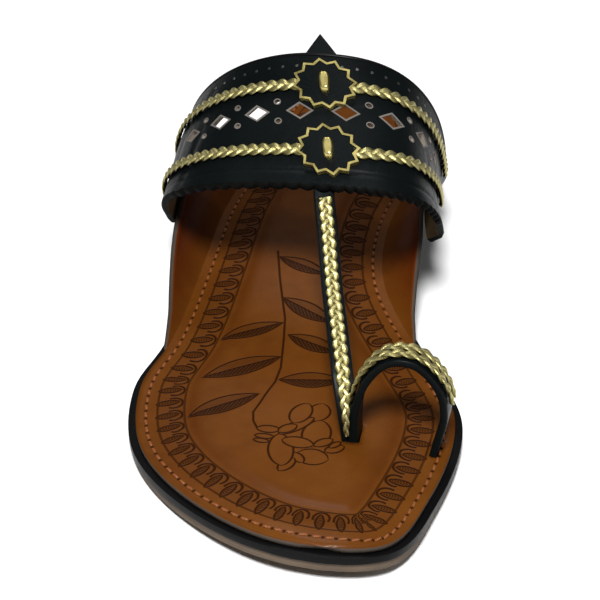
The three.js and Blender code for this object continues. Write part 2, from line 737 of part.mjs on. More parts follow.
// Braids: flat cords lying on a strap, given by the line of points they follow and the way up there
function braid(points, ups, width) {
  const w = width / 2;
  const section = [
    [-w * 0.7, 0], [w * 0.7, 0], [w, BRAID_THICKNESS * 0.4], [w * 0.55, BRAID_THICKNESS],
    [-w * 0.55, BRAID_THICKNESS], [-w, BRAID_THICKNESS * 0.4],
  ];
  const rings = points.map((point, index) => {
    const before = points[Math.max(0, index - 1)];
    const after = points[Math.min(points.length - 1, index + 1)];
    const way = after.clone().sub(before).normalize();
    const side = way.clone().cross(ups[index]).normalize();
    const up = side.clone().cross(way).normalize();
    return section.map(([across, height]) => (
      point.clone().addScaledVector(side, across).addScaledVector(up, height + SEAT_GAP)));
  });
  return fanLoft(rings);
}

// A braid along the band at one row, between two shares of the arch.
const BAND_BRAID_STEPS = 18;
function bandBraid(row, from, to) {
  const shares = Array.from({ length: BAND_BRAID_STEPS + 1 }, (_, index) => (
    lerp(from, to, index / BAND_BRAID_STEPS)));
  return braid(
    shares.map((share) => onBand(share, rowAt(row, share), BAND_WALL)),
    shares.map((share) => bandNormal(share, rowAt(row, share))),
    BRAID_WIDTH,
  );
}

// A braid along one of the straps, between two shares of its length.
const STRAP_BRAID_STEPS = 22;
function strapBraid(curve, sideVector, wall, width, from, to) {
  const shares = Array.from({ length: STRAP_BRAID_STEPS + 1 }, (_, index) => (
    lerp(from, to, index / STRAP_BRAID_STEPS)));
  const ups = shares.map((share) => {
    const way = curve.getTangentAt(share);
    const side = sideVector.clone().addScaledVector(way, -sideVector.dot(way)).normalize();
    return way.clone().cross(side).normalize();
  });
  const points = shares.map((share, index) => (
    curve.getPointAt(share).addScaledVector(ups[index], wall / 2)));
  return braid(points, ups, width);
}

// A pinked leather rosette, laid on the band, and the upright metal staple at its middle
function starOutline(radius, notch) {
  return Array.from({ length: ROSETTE_POINTS * 2 }, (_, index) => {
    const angle = (Math.PI * (index + 0.5)) / ROSETTE_POINTS;
    const reach = radius * (index % 2 === 0 ? 1 : notch);
    return [reach * Math.cos(angle), reach * Math.sin(angle)];
  });
}

const ROSETTE_RINGS = [0.3, 0.65, 1];
function rosette(row) {
  const low = BAND_WALL + SEAT_GAP;
  const rings = (height) => ROSETTE_RINGS.map((share) => (
    bandRing(0, row.crown, starOutline(ROSETTE_RADIUS * share, ROSETTE_NOTCH), height)));
  return fanLoft([...rings(low), ...rings(low + ROSETTE_THICKNESS).reverse()]);
}

const STUD_SECTIONS = 8;
function stud(row) {
  const seat = BAND_WALL + 2 * SEAT_GAP + ROSETTE_THICKNESS;
  const rings = [];
  for (let step = 0; step <= STUD_SECTIONS; step += 1) {
    const place = (2 * step) / STUD_SECTIONS - 1;
    const swell = Math.sqrt(Math.max(0.12, 1 - place ** 4));
    const half = (STUD_WIDTH / 2) * swell;
    const high = seat + STUD_HEIGHT * swell;
    const corners = [[-half, seat], [half, seat], [half * 0.6, high], [-half * 0.6, high]];
    rings.push(corners.map(([dx, height]) => (
      bandRing(0, row.crown, [[dx, (place * STUD_LENGTH) / 2]], height)[0])));
  }
  return fanLoft(rings);
}

const leather = (color, roughness) => new THREE.MeshStandardMaterial({ color, roughness, metalness: 0 });
const gold = new THREE.MeshStandardMaterial({ color: 0xa08a46, roughness: 0.35, metalness: 0.9 });
const rubber = new THREE.MeshStandardMaterial({ color: 0x6b5a45, roughness: 0.8, metalness: 0 });

const sandal = new THREE.Group();
function place(name, geometry, material) {
  const mesh = new THREE.Mesh(geometry, material);
  mesh.name = name;
  sandal.add(mesh);
}

place('outsole', soleLayer(OUTSOLE_PROUD, ground, outsoleTop, 0.6), rubber);
place('midsole_rim', soleLayer(RIM_PROUD, rimBottom, rimTop, 0.9), leather(0x101010, 0.45));
place('insole', buildInsole(), leather(0x7a4a22, 0.5));
place('upper', buildUpper(), leather(0x14181a, 0.5));

// Trim of the band: each braid runs from the tail of the band up to the edge of its rosette
for (const where of ['front', 'rear']) {
  const row = ROWS[where];
  for (const [sideName, side] of [['lateral', -1], ['medial', 1]]) {
    const start = acrossShare(side * (ROSETTE_RADIUS + SEAT_GAP), row.crown);
    place(`braid_${where}_${sideName}`, bandBraid(row, start, side * BRAID_END), gold);
  }
  place(`rosette_${where}`, rosette(row), leather(0x14181a, 0.55));
  place(`stud_${where}`, stud(row), gold);
}
place('braid_toe_strap', strapBraid(strapCurve(0), strapSide(), STRAP_WALL, BRAID_WIDTH,
  STRAP_BRAID_FROM, STRAP_BRAID_TO), gold);
place('braid_toe_loop', strapBraid(loopCurve(0), loopSide(), LOOP_WALL, LOOP_BRAID_WIDTH,
  LOOP_BRAID_FROM, LOOP_BRAID_TO), gold);

// The origin is under the middle of the whole sandal, on the ground
const box = new THREE.Box3().setFromObject(sandal);
sandal.position.set(-(box.min.x + box.max.x) / 2, -(box.min.y + box.max.y) / 2, -box.min.z);

export default sandal;
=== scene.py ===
# %% [markdown]
# # A leather toe-loop sandal
# The sandal is made of a rubber sole, a black leather rim, a tan footbed whose sides rise as wings, a
# wide black band over the instep, a toe strap, a toe loop and gold braid. The solid model gives each
# piece its size and place. This script dresses it: every piece is modelled flat, as a shoemaker cuts
# it, and then bent onto the form that the sizes below describe.

# %% Load the frame
import math
import bmesh
import bpy
import numpy as np
from mathutils import Matrix, Vector


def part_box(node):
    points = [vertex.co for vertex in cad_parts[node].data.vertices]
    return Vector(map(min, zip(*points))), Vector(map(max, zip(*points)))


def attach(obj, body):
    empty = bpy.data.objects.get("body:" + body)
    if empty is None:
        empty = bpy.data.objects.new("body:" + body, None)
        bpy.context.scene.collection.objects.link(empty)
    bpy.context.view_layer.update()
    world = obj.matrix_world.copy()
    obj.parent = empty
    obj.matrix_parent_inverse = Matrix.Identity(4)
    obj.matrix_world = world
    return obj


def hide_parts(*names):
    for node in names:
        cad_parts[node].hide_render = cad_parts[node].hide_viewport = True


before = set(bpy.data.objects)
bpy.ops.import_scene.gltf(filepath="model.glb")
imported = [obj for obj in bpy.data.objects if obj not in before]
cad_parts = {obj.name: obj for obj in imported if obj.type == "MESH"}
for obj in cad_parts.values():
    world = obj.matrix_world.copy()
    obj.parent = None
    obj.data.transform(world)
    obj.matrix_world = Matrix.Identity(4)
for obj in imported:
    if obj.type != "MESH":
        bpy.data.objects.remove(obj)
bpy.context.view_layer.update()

# %% [markdown]
# ## Sizes
# These are the sizes that the sandal's pieces are cut from, in millimetres, with the toe along -Y and
# the big toe on the +X side. They repeat the driving sizes of the solid model, because a script that
# only dresses a model should never invent sizes of its own.

# %% Sizes of the sole and footbed
INSOLE_LENGTH = 250
BALL_WIDTH = 92
HEEL_WIDTH = 58
OUTSOLE_HEEL = 6.6
OUTSOLE_FOREFOOT = 2.6
RIM_THICKNESS = 2.2
INSOLE_EDGE = 1.3
INSOLE_CROWN = 2.0
TOE_SPRING = 4.6
ARCH_LIFT = 1.5
RIM_PROUD = 2.2
OUTSOLE_PROUD = 1.6
SEAT_GAP = 0.3
WING_WALL = 1.8
WING_RISE = 18.5
WING_BEND_RISE = 14
WING_FLARE = {"medial": 11, "lateral": 8}
WING_ROOT = 3
WING_BEND = 1.5
CROWN_FADE = 20
print(f"footbed {INSOLE_LENGTH} by {BALL_WIDTH} mm, heel {HEEL_WIDTH} mm wide")

# %% Sizes of the band, straps and trim
BAND_WALL = 2.0
BAND_FRONT_HEIGHT = 55.5
BAND_REAR_HEIGHT = 77
BAND_BASE_HEIGHT = 29
BAND_CROWN_Y = -20.5
BAND_CROWN_DEPTH = 40
BAND_BASE_Y = 2
BAND_BASE_DEPTH = 44
BAND_CROWN_X = (9, -4)
TRIM_AXIS = (-3.9, 0.3)
BAND_TAIL_FRONT = {"lateral": 8, "medial": 3.5}
BAND_TAIL_REAR = 13
BAND_TAIL_SLOPE = (0.85, 0.35)
BAND_STAND_OFF = 2.8
WING_CLEARANCE = 0.5
SHOULDERS = {
    "medial": {"fullness": (3.2, 2.6), "stand_off": (1, 0)},
    "lateral": {"fullness": (2.1, 1.9), "stand_off": (0, 0.75)},
}
DIAMOND_LENGTH = 8.4
DIAMOND_WIDTH = 6.4
DIAMOND_PITCH = 13.4
DIAMONDS_EACH_SIDE = 4
DIAMONDS_ACROSS = -1.1
TAB_WIDTH = 11
TAB_LENGTH = 9
TAB_DROP = 1.4
TAB_ACROSS = -0.7
STRAP_WIDTH = 6
STRAP_WALL = 2.4
STRAP_ACROSS = -2.1
STRAP_TUCK = 0.22
LOOP_WIDTH = 8
LOOP_WALL = 2.2
POST = (18.6, -77)
LOOP_ROOT = (21.4, -74)
LOOP_FOOT = (43, -74)
LOOP_HEIGHT = 31
BRAID_WIDTH = 4.2
BRAID_THICKNESS = 1.8
LOOP_BRAID_WIDTH = 6.6
ROSETTE_RADIUS = 9.2
ROSETTE_THICKNESS = 1.6
ROSETTE_POINTS = 12
ROSETTE_NOTCH = 0.83
STUD_LENGTH = 7.4
STUD_WIDTH = 3
STUD_HEIGHT = 2.2
BRAID_END = 1.05
ROWS = {
    "front": {"lateral": 0.26, "crown": 0.25, "medial": 0.46},
    "diamonds": {"lateral": 0.48, "crown": 0.56, "medial": 0.68},
    "rear": {"lateral": 0.76, "crown": 0.75, "medial": 0.87},
}
print(f"band {BAND_FRONT_HEIGHT} mm high in front and {BAND_REAR_HEIGHT} mm behind")

# %% [markdown]
# Four short tables hold the shapes that a formula can't: the outline of the footbed seen from above,
# the height of the sole along its length, the top line of each wing, and the bow of the toe loop.
# Lengths are shares of a named size, so that a longer sandal only needs a longer size.

# %% Tables
OUTLINE = [
    # along, across, and the width that across is a share of
    (0.5, -0.1, HEEL_WIDTH), (0.463, -0.466, HEEL_WIDTH), (0.375, -0.569, HEEL_WIDTH),
    (0.276, -0.6, HEEL_WIDTH), (0.14, -0.42, BALL_WIDTH), (0.005, -0.424, BALL_WIDTH),
    (-0.144, -0.442, BALL_WIDTH), (-0.235, -0.483, BALL_WIDTH), (-0.348, -0.41, BALL_WIDTH),
    (-0.442, -0.187, BALL_WIDTH), (-0.496, 0.1, BALL_WIDTH), (-0.484, 0.382, BALL_WIDTH),
    (-0.385, 0.482, BALL_WIDTH), (-0.238, 0.514, BALL_WIDTH), (-0.134, 0.385, BALL_WIDTH),
    (0.01, 0.2, BALL_WIDTH), (0.144, 0.172, BALL_WIDTH), (0.279, 0.37, HEEL_WIDTH),
    (0.378, 0.42, HEEL_WIDTH), (0.464, 0.281, HEEL_WIDTH),
]
PROFILE = {
    "along": (-0.5, -0.42, -0.34, -0.28, -0.12, 0.05, 0.24, 0.5),
    "spring": (1, 0.42, 0.08, 0, 0, 0, 0, 0),
    "arch": (0, 0, 0, 0, 0, 1, 0, 0),
    "thick": (0, 0, 0, 0, 0.15, 0.55, 1, 1),
}
WING_LINE = {
    "medial": ((-0.1, -0.06, 0.08, 0.18, 0.24, 0.335), (0, 0.17, 1, 1, 0.5, 0)),
    "lateral": ((-0.16, -0.1, 0.08, 0.18, 0.24, 0.335), (0, 0.2, 1, 1, 0.5, 0)),
}
LOOP_TABLE = {
    "across": (0.0, 0.13, 0.4, 0.74, 1.05, 1.13, 1.07),
    "height": (0.45, 0.75, 0.97, 0.97, 0.73, 0.45, 0.2),
}
print(len(OUTLINE), "points in the outline of the footbed")


# %% [markdown]
# ## Reading the tables
# A Catmull-Rom curve passes through its points, which is what a shoemaker's spline does too. The
# centripetal kind doesn't overshoot where points lie close together.

# %% Curves through points
def smooth_line(points, closed, per_span=24):
    """Points of a centripetal Catmull-Rom curve."""
    points = np.array(points, float)
    count = len(points)
    spans = count if closed else count - 1
    steps = np.linspace(0, 1, per_span, endpoint=False)[:, None]
    line = []
    for span in range(spans):
        b, c = points[span], points[(span + 1) % count]
        a = points[span - 1] if closed or span > 0 else 2 * b - c
        d = points[(span + 2) % count] if closed or span + 2 < count else 2 * c - b
        ab, bc, cd = (math.sqrt(np.linalg.norm(q - p)) for p, q in ((a, b), (b, c), (c, d)))
        start = ((b - a) / ab - (c - a) / (ab + bc) + (c - b) / bc) * bc
        end = ((c - b) / bc - (d - b) / (bc + cd) + (d - c) / cd) * bc
        line.append(
            b * (2 * steps**3 - 3 * steps**2 + 1)
            + c * (3 * steps**2 - 2 * steps**3)
            + start * (steps**3 - 2 * steps**2 + steps)
            + end * (steps**3 - steps**2)
        )
    if not closed:
        line.append(points[-1:])
    return np.concatenate(line)


def run_lengths(line):
    """How far along a line each of its points lies."""
    return np.concatenate([[0], np.cumsum(np.linalg.norm(np.diff(line, axis=0), axis=1))])


def at_lengths(line, wanted):
    """Points at given lengths along a line."""
    lengths = run_lengths(line)
    return np.stack([np.interp(wanted, lengths, line[:, k]) for k in range(line.shape[1])], axis=-1)


def smooth_read(xs, ys, x, first_slope=0.0):
    """A smooth run through the rows of a table that never overshoots."""
    xs, ys = np.array(xs, float), np.array(ys, float)
    rises = np.diff(ys) / np.diff(xs)
    slopes = np.zeros(len(xs))
    for row in range(1, len(xs) - 1):
        before, after = rises[row - 1], rises[row]
        slopes[row] = 2 * before * after / (before + after) if before * after > 0 else 0
    slopes[0] = first_slope * rises[0]
    x = np.clip(x, xs[0], xs[-1])
    row = np.clip(np.searchsorted(xs, x, side="right") - 1, 0, len(xs) - 2)
    span = xs[row + 1] - xs[row]
    t = (x - xs[row]) / span
    return (
        ys[row] * (2 * t**3 - 3 * t**2 + 1)
        + ys[row + 1] * (3 * t**2 - 2 * t**3)
        + slopes[row] * span * (t**3 - 2 * t**2 + t)
        + slopes[row + 1] * span * (t**3 - t**2)
    )


# %% The outline, and how far it is moved out or in
OUTLINE_STEPS = 480
curve = smooth_line([(across * width, along * INSOLE_LENGTH) for along, across, width in OUTLINE], True)
curve = np.concatenate([curve, curve[:1]])
OUTLINE_RUN = run_lengths(curve)[-1]
outline = at_lengths(curve, np.arange(OUTLINE_STEPS) / OUTLINE_STEPS * OUTLINE_RUN)
outline_way = np.roll(outline, -1, axis=0) - np.roll(outline, 1, axis=0)
outline_way /= np.linalg.norm(outline_way, axis=1)[:, None]
outline_out = np.stack([outline_way[:, 1], -outline_way[:, 0]], axis=1)


def moved_outline(distance):
    return outline + outline_out * distance


def edges(distance, y):
    """The lateral and the medial x of the outline at each y."""
    line = moved_outline(distance)
    heel, toe = np.argmax(line[:, 1]), np.argmin(line[:, 1])
    down = line[np.arange(heel, toe + 1 if toe > heel else toe + 1 + OUTLINE_STEPS) % OUTLINE_STEPS]
    up = line[np.arange(toe, heel + 1 if heel > toe else heel + 1 + OUTLINE_STEPS) % OUTLINE_STEPS]
    lateral = np.interp(y, down[::-1, 1], down[::-1, 0])
    return lateral, np.interp(y, up[:, 1], up[:, 0])


print(f"footbed outline runs {OUTLINE_RUN:.0f} mm")


# %% Heights along the sole
def profile(column, y, first_slope=0.0):
    return smooth_read(PROFILE["along"], PROFILE[column], y / INSOLE_LENGTH, first_slope)


SPRING_START = 1.4


def ground(y):
    return TOE_SPRING * profile("spring", y, SPRING_START) + ARCH_LIFT * profile("arch", y)


def outsole_top(y):
    return ground(y) + OUTSOLE_FOREFOOT + (OUTSOLE_HEEL - OUTSOLE_FOREFOOT) * profile("thick", y)


def rim_bottom(y):
    return outsole_top(y) + SEAT_GAP


def rim_top(y):
    return rim_bottom(y) + RIM_THICKNESS


def insole_edge(y):
    return rim_top(y) + SEAT_GAP + INSOLE_EDGE


def pad_height(x, y):
    """Top of the footbed between its edges, gently crowned."""
    lateral, medial = edges(0, y)
    half = (medial - lateral) / 2
    inner = np.maximum(half - np.minimum(WING_ROOT, half / 2), 0.01)
    share = np.clip(np.abs(x - (lateral + medial) / 2) / inner, 0, 1)
    return insole_edge(y) + INSOLE_CROWN * np.clip(inner / CROWN_FADE, 0, 1) * (1 - share**3)


print(f"edge of the footbed {float(insole_edge(0.0)):.1f} mm up at its middle")


# %% Wings of the footbed
SIDES = {"medial": 1, "lateral": -1}
HALVINGS = 30


def wing_top(side, y):
    alongs, rises = WING_LINE[side]
    return WING_RISE * np.interp(y / INSOLE_LENGTH, alongs, rises, left=0, right=0)


def wing_face(side, y, rise, outwards):
    """x and z of a wing at a rise above the footbed's edge, moved out through its wall."""
    left = 1 - np.clip(rise / WING_BEND_RISE, 0, 1)
    flare = WING_FLARE[side] * (1 - left**WING_BEND)
    slant = WING_FLARE[side] * WING_BEND * left ** (WING_BEND - 1) / WING_BEND_RISE
    size = np.hypot(1, slant)
    edge = edges(0, y)[1 if side == "medial" else 0]
    x = edge + SIDES[side] * (flare + outwards / size)
    return x, insole_edge(y) + rise - outwards * slant / size


def wing_outside(side, y, z):
    """x of the outside of a wing at a height, found by halving."""
    low, high = np.zeros_like(y + z), np.full_like(y + z, BAND_REAR_HEIGHT)
    for _ in range(HALVINGS):
        middle = (low + high) / 2
        under = wing_face(side, y, middle, WING_WALL)[1] < z
        low, high = np.where(under, middle, low), np.where(under, high, middle)
    return wing_face(side, y, low, WING_WALL)[0]


print("rise of the wings", {side: round(float(wing_top(side, 20.0)), 1) for side in SIDES}, "mm")


# %% [markdown]
# ## The band's form
# The band is an arch over the instep that leans back and widens to the rear. Any place on it has two
# shares: across, from -1 at the lateral foot of the arch over 0 at the crown to 1 at the medial foot
# and on to 2 at the end of the tail, and along, from 0 at the front edge to 1 at the rear. A table of
# places and normals is worked out once, and every piece on the band reads it.

# %% One half of the band's arch
ACROSS = np.linspace(-2, 2, 201)
ALONG = np.linspace(-0.1, 1.3, 71)
ARCH_SAMPLES = 160


def between(pair, share):
    return pair[0] + (pair[1] - pair[0]) * share


def half_arch(side, along):
    """Places down one half of the arch, and then down its tail, at one share along."""
    shoulder = SHOULDERS[side]
    stand_off = BAND_STAND_OFF * between(shoulder["stand_off"], along)
    base_y = BAND_BASE_Y + BAND_BASE_DEPTH * along
    crown = np.array([
        between(BAND_CROWN_X, along),
        BAND_CROWN_Y + BAND_CROWN_DEPTH * along,
        between((BAND_FRONT_HEIGHT, BAND_REAR_HEIGHT), along),
    ])
    base_x = wing_outside(side, np.array(base_y), np.array(BAND_BASE_HEIGHT))
    base = np.array([base_x + SIDES[side] * (WING_CLEARANCE + stand_off), base_y, BAND_BASE_HEIGHT])
    turn = np.linspace(0, math.pi / 2, ARCH_SAMPLES)[:, None]
    power = 2 / between(shoulder["fullness"], along)
    lift, spread = np.clip(np.cos(turn), 0, 1) ** power, np.sin(turn) ** power
    bow = np.concatenate([
        crown[:1] + (base[:1] - crown[:1]) * spread,
        base[1:] + (crown[1:] - base[1:]) * lift,
    ], axis=1)
    length = run_lengths(bow)[-1]
    arch = at_lengths(bow, ACROSS[ACROSS >= 0][ACROSS[ACROSS >= 0] <= 1] * length)
    share = ACROSS[ACROSS > 1] - 1
    drop = share * between((BAND_TAIL_FRONT[side], BAND_TAIL_REAR), along)
    y = base_y + drop * between(BAND_TAIL_SLOPE, along)
    z = BAND_BASE_HEIGHT - drop
    x = wing_outside(side, y, z) + SIDES[side] * (WING_CLEARANCE + stand_off * (1 - share))
    return np.concatenate([arch, np.stack([x, y, z], axis=1)]), length


# %% Table of places on the band
halves = {side: [half_arch(side, along) for along in ALONG] for side in SIDES}
band_places = np.stack([
    np.concatenate([lateral[0][:0:-1], medial[0]])
    for lateral, medial in zip(halves["lateral"], halves["medial"])
])
band_lengths = {side: np.array([length for _, length in halves[side]]) for side in SIDES}
band_normals = np.cross(np.gradient(band_places, axis=1), np.gradient(band_places, axis=0))
band_normals /= np.linalg.norm(band_normals, axis=2)[:, :, None]
print("arch runs", {side: round(float(band_lengths[side][5])) for side in SIDES}, "mm in front")


# %% Reading the table of the band
def read_grid(values, across, along):
    """Reads the table between its rows and columns."""
    column = np.clip((across - ACROSS[0]) / (ACROSS[1] - ACROSS[0]), 0, len(ACROSS) - 1.001)
    row = np.clip((along - ALONG[0]) / (ALONG[1] - ALONG[0]), 0, len(ALONG) - 1.001)
    i, j = column.astype(int), row.astype(int)
    u, v = (column - i)[..., None], (row - j)[..., None]
    near = values[j, i] * (1 - u) + values[j, i + 1] * u
    far = values[j + 1, i] * (1 - u) + values[j + 1, i + 1] * u
    return near * (1 - v) + far * v


def on_band(across, along, height):
    across, along = np.broadcast_arrays(np.asarray(across, float), np.asarray(along, float))
    normal = read_grid(band_normals, across, along)
    normal /= np.linalg.norm(normal, axis=-1)[..., None]
    return read_grid(band_places, across, along) + normal * np.asarray(height, float)[..., None]


def across_share(distance, along):
    """Turns millimetres across from the trim's axis into a share of the arch."""
    from_crown = distance + between(TRIM_AXIS, along)
    medial = np.interp(along, ALONG, band_lengths["medial"])
    lateral = np.interp(along, ALONG, band_lengths["lateral"])
    return from_crown / np.where(from_crown > 0, medial, lateral)


def row_at(row, across):
    """Where a row of trim lies at a share of the arch."""
    foot = np.where(across < 0, row["lateral"], row["medial"])
    return row["crown"] + (foot - row["crown"]) * np.clip(np.abs(across), 0, 1) ** 2


def along_scale(along):
    """The share of the band's depth that a millimetre takes up near the crown."""
    step = 0.02
    reach = on_band(0, along + step, 0) - on_band(0, along - step, 0)
    return 2 * step / np.linalg.norm(reach)


def near_row(row, across_mm, along_mm):
    """Shares of a place given in millimetres from a place on a row of trim."""
    along = row + along_mm * along_scale(row)
    return across_share(across_mm, along), along


print("top of the band's crown", on_band(0, 0.5, BAND_WALL).round(1))

# %% [markdown]
# ## From a flat pattern to a piece
# The solid model stands centred over the origin, and the outsole's outline shows how far it was moved.
# Every helper below takes millimetres and writes metres, so that no other line has to convert.

# %% Place in the frame
MM = 0.001
sole_edge = moved_outline(OUTSOLE_PROUD)
SHIFT = np.array([
    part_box("outsole")[0].x / MM - sole_edge[:, 0].min(),
    (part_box("outsole")[0].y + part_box("outsole")[1].y) / 2 / MM
    - (sole_edge[:, 1].min() + sole_edge[:, 1].max()) / 2,
    0,
])
print("shift of the frame", SHIFT.round(2))


def places_of(verts):
    return np.array([vertex.co for vertex in verts], float).reshape(-1, 3)


def set_places(verts, places):
    for vertex, spot in zip(verts, places):
        vertex.co = spot


def place(bm, mapping=None):
    """Moves each vertex by a mapping of millimetres, and then into the frame in metres."""
    flat = places_of(bm.verts)
    bent = flat if mapping is None else mapping(flat)
    set_places(bm.verts, (bent + SHIFT) * MM)


# %% Raising, insetting and finishing a piece
SMOOTH_ANGLE = math.radians(38)


def move_up(bm, verts, height):
    bmesh.ops.translate(bm, verts=verts, vec=(0, 0, height))


def extrude_up(bm, faces, height):
    """Extrudes faces, lifts the new ones and returns their vertices."""
    made = bmesh.ops.extrude_face_region(bm, geom=faces)["geom"]
    upper = [item for item in made if isinstance(item, bmesh.types.BMVert)]
    move_up(bm, upper, height)
    return upper


def inset_frame(bm, face, width):
    """Leaves a frame of even width round a face that stands alone."""
    bmesh.ops.inset_region(bm, faces=[face], thickness=width, use_boundary=True, use_even_offset=True)


def add_object(name, bm, finishes):
    """Puts a bmesh into the scene as an object at the origin."""
    mesh = bpy.data.meshes.new(name)
    bm.to_mesh(mesh)
    bm.free()
    for finish in finishes:
        mesh.materials.append(finish)
    item = bpy.data.objects.new(name, mesh)
    bpy.context.scene.collection.objects.link(item)
    return item


def make_piece(name, bm, finishes, replaced=(), recalc=False):
    """Turns a bmesh into a finished piece that rides on the sandal."""
    if recalc:
        bmesh.ops.recalc_face_normals(bm, faces=bm.faces)
    piece = add_object(name, bm, finishes)
    mesh = piece.data
    mesh.shade_smooth()
    mesh.set_sharp_from_angle(angle=SMOOTH_ANGLE)
    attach(piece, "root")
    if replaced:
        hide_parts(*replaced)
    print(f"{name}: {len(mesh.polygons)} faces")
    return piece


# %% [markdown]
# A track is a line of places with a way up at each. A strap, a braid or a bound edge is modelled
# straight along X, and the track bends it: X becomes the length run, Y the distance sideways and Z
# the height above the line.

# %% Tracks
BAND_TRACK_STEPS = 160
STRAP_TRACK_STEPS = 240


class Track:
    def __init__(self, line, ups):
        self.line, self.lengths = line, run_lengths(line)
        way = np.gradient(line, axis=0)
        way /= np.linalg.norm(way, axis=1)[:, None]
        side = np.cross(way, ups)
        self.side = side / np.linalg.norm(side, axis=1)[:, None]
        self.up = np.cross(self.side, way)
        self.length = self.lengths[-1]

    def read(self, column, run):
        return np.stack([np.interp(run, self.lengths, column[:, k]) for k in range(3)], axis=-1)

    def bend(self, flat):
        run = np.clip(flat[:, 0], 0, self.length)
        side, up = self.read(self.side, run), self.read(self.up, run)
        return self.read(self.line, run) + side * flat[:, 1:2] + up * flat[:, 2:3]


def band_track(row, start, end, height, steps=BAND_TRACK_STEPS):
    """A track along a row of the band between two shares of the arch."""
    across = np.linspace(start, end, steps)
    along = row_at(row, across)
    line = on_band(across, along, np.full(steps, height))
    return Track(line, line - on_band(across, along, np.full(steps, height - 1)))


def strap_track(points, side, height):
    """A track on top of a strap that follows a curve and keeps its width along one direction."""
    line = smooth_line(points, False)
    line = at_lengths(line, np.linspace(0, run_lengths(line)[-1], STRAP_TRACK_STEPS))
    way = np.gradient(line, axis=0)
    way /= np.linalg.norm(way, axis=1)[:, None]
    across = side - (way @ side)[:, None] * way
    ups = np.cross(way, across)
    ups /= np.linalg.norm(ups, axis=1)[:, None]
    ups *= np.sign(ups[len(ups) // 2, 2])
    return Track(line + ups * height, ups)


# %% Curves of the toe strap and the toe loop
def floor_of_slot(y):
    return rim_top(y) + 2 * SEAT_GAP


STRAP_ROUTE = [
    # shares of the way from the band's front edge to the post, in x, y and z
    (0.19, 0.19, 0.2), (0.4, 0.42, 0.36), (0.65, 0.67, 0.48), (0.86, 0.88, 0.6),
    (0.97, 0.99, 0.76), (1, 1, 0.9),
]


def strap_points():
    start = on_band(across_share(STRAP_ACROSS, STRAP_TUCK), STRAP_TUCK, 0)
    front = on_band(across_share(STRAP_ACROSS, 0.0), 0.0, 0)
    end = (*POST, floor_of_slot(POST[1]))
    route = [[between((front[k], end[k]), share[k]) for k in range(3)] for share in STRAP_ROUTE]
    return [
        (start[0], start[1], start[2] - STRAP_WALL * 0.2),
        (front[0], front[1], front[2] - STRAP_WALL),
        *route,
        end,
    ]


def loop_points():
    def at(across, z):
        x, y = (between(ends, across) for ends in zip(LOOP_ROOT, LOOP_FOOT))
        return x, y, z
    base = insole_edge(np.array(LOOP_ROOT[1]))
    return [
        at(0.0, floor_of_slot(np.array(LOOP_ROOT[1]))),
        at(-0.02, base + 0.18 * LOOP_HEIGHT),
        *[at(a, base + h * LOOP_HEIGHT) for a, h in zip(LOOP_TABLE["across"], LOOP_TABLE["height"])],
        at(1.0, floor_of_slot(np.array(LOOP_FOOT[1]))),
    ]


STRAP_SIDE = np.array([1, 0.25, 0])
LOOP_SIDE = np.array([0.06, 1, 0])
strap_middle = strap_track(strap_points(), STRAP_SIDE, 0)
loop_middle = strap_track(loop_points(), LOOP_SIDE, 0)
print(f"toe strap runs {strap_middle.length:.0f} mm, toe loop {loop_middle.length:.0f} mm")

# %% [markdown]
# ## Finishes
# A material is a small program. Wrapping a socket in a class with the usual operators lets it be
# written as a sum, and one method makes every other kind of node.

# %% A way to write finishes
class Wire:
    """An output socket that takes part in sums."""

    def __init__(self, finish, socket):
        self.finish, self.socket = finish, socket

    def math(self, operation, *others):
        return self.finish.node("ShaderNodeMath", {"operation": operation}, self, *others)

    def __add__(self, other):
        return self.math("ADD", other)

    def __sub__(self, other):
        return self.math("SUBTRACT", other)

    def __rsub__(self, other):
        return self.finish.node("ShaderNodeMath", {"operation": "SUBTRACT"}, other, self)

    def __mul__(self, other):
        return self.math("MULTIPLY", other)

    __radd__, __rmul__ = __add__, __mul__

    def __truediv__(self, other):
        return self.math("DIVIDE", other)

    def __pow__(self, other):
        return self.math("POWER", other)

    def __abs__(self):
        return self.math("ABSOLUTE")

    def clip(self):
        return self.finish.node("ShaderNodeClamp", {}, self)

    def most(self, other):
        return self.math("MAXIMUM", other)

    def sine(self):
        return self.math("SINE")

    def dot(self, direction):
        return self.finish.node(
            "ShaderNodeVectorMath", {"operation": "DOT_PRODUCT"}, self, direction, out="Value")


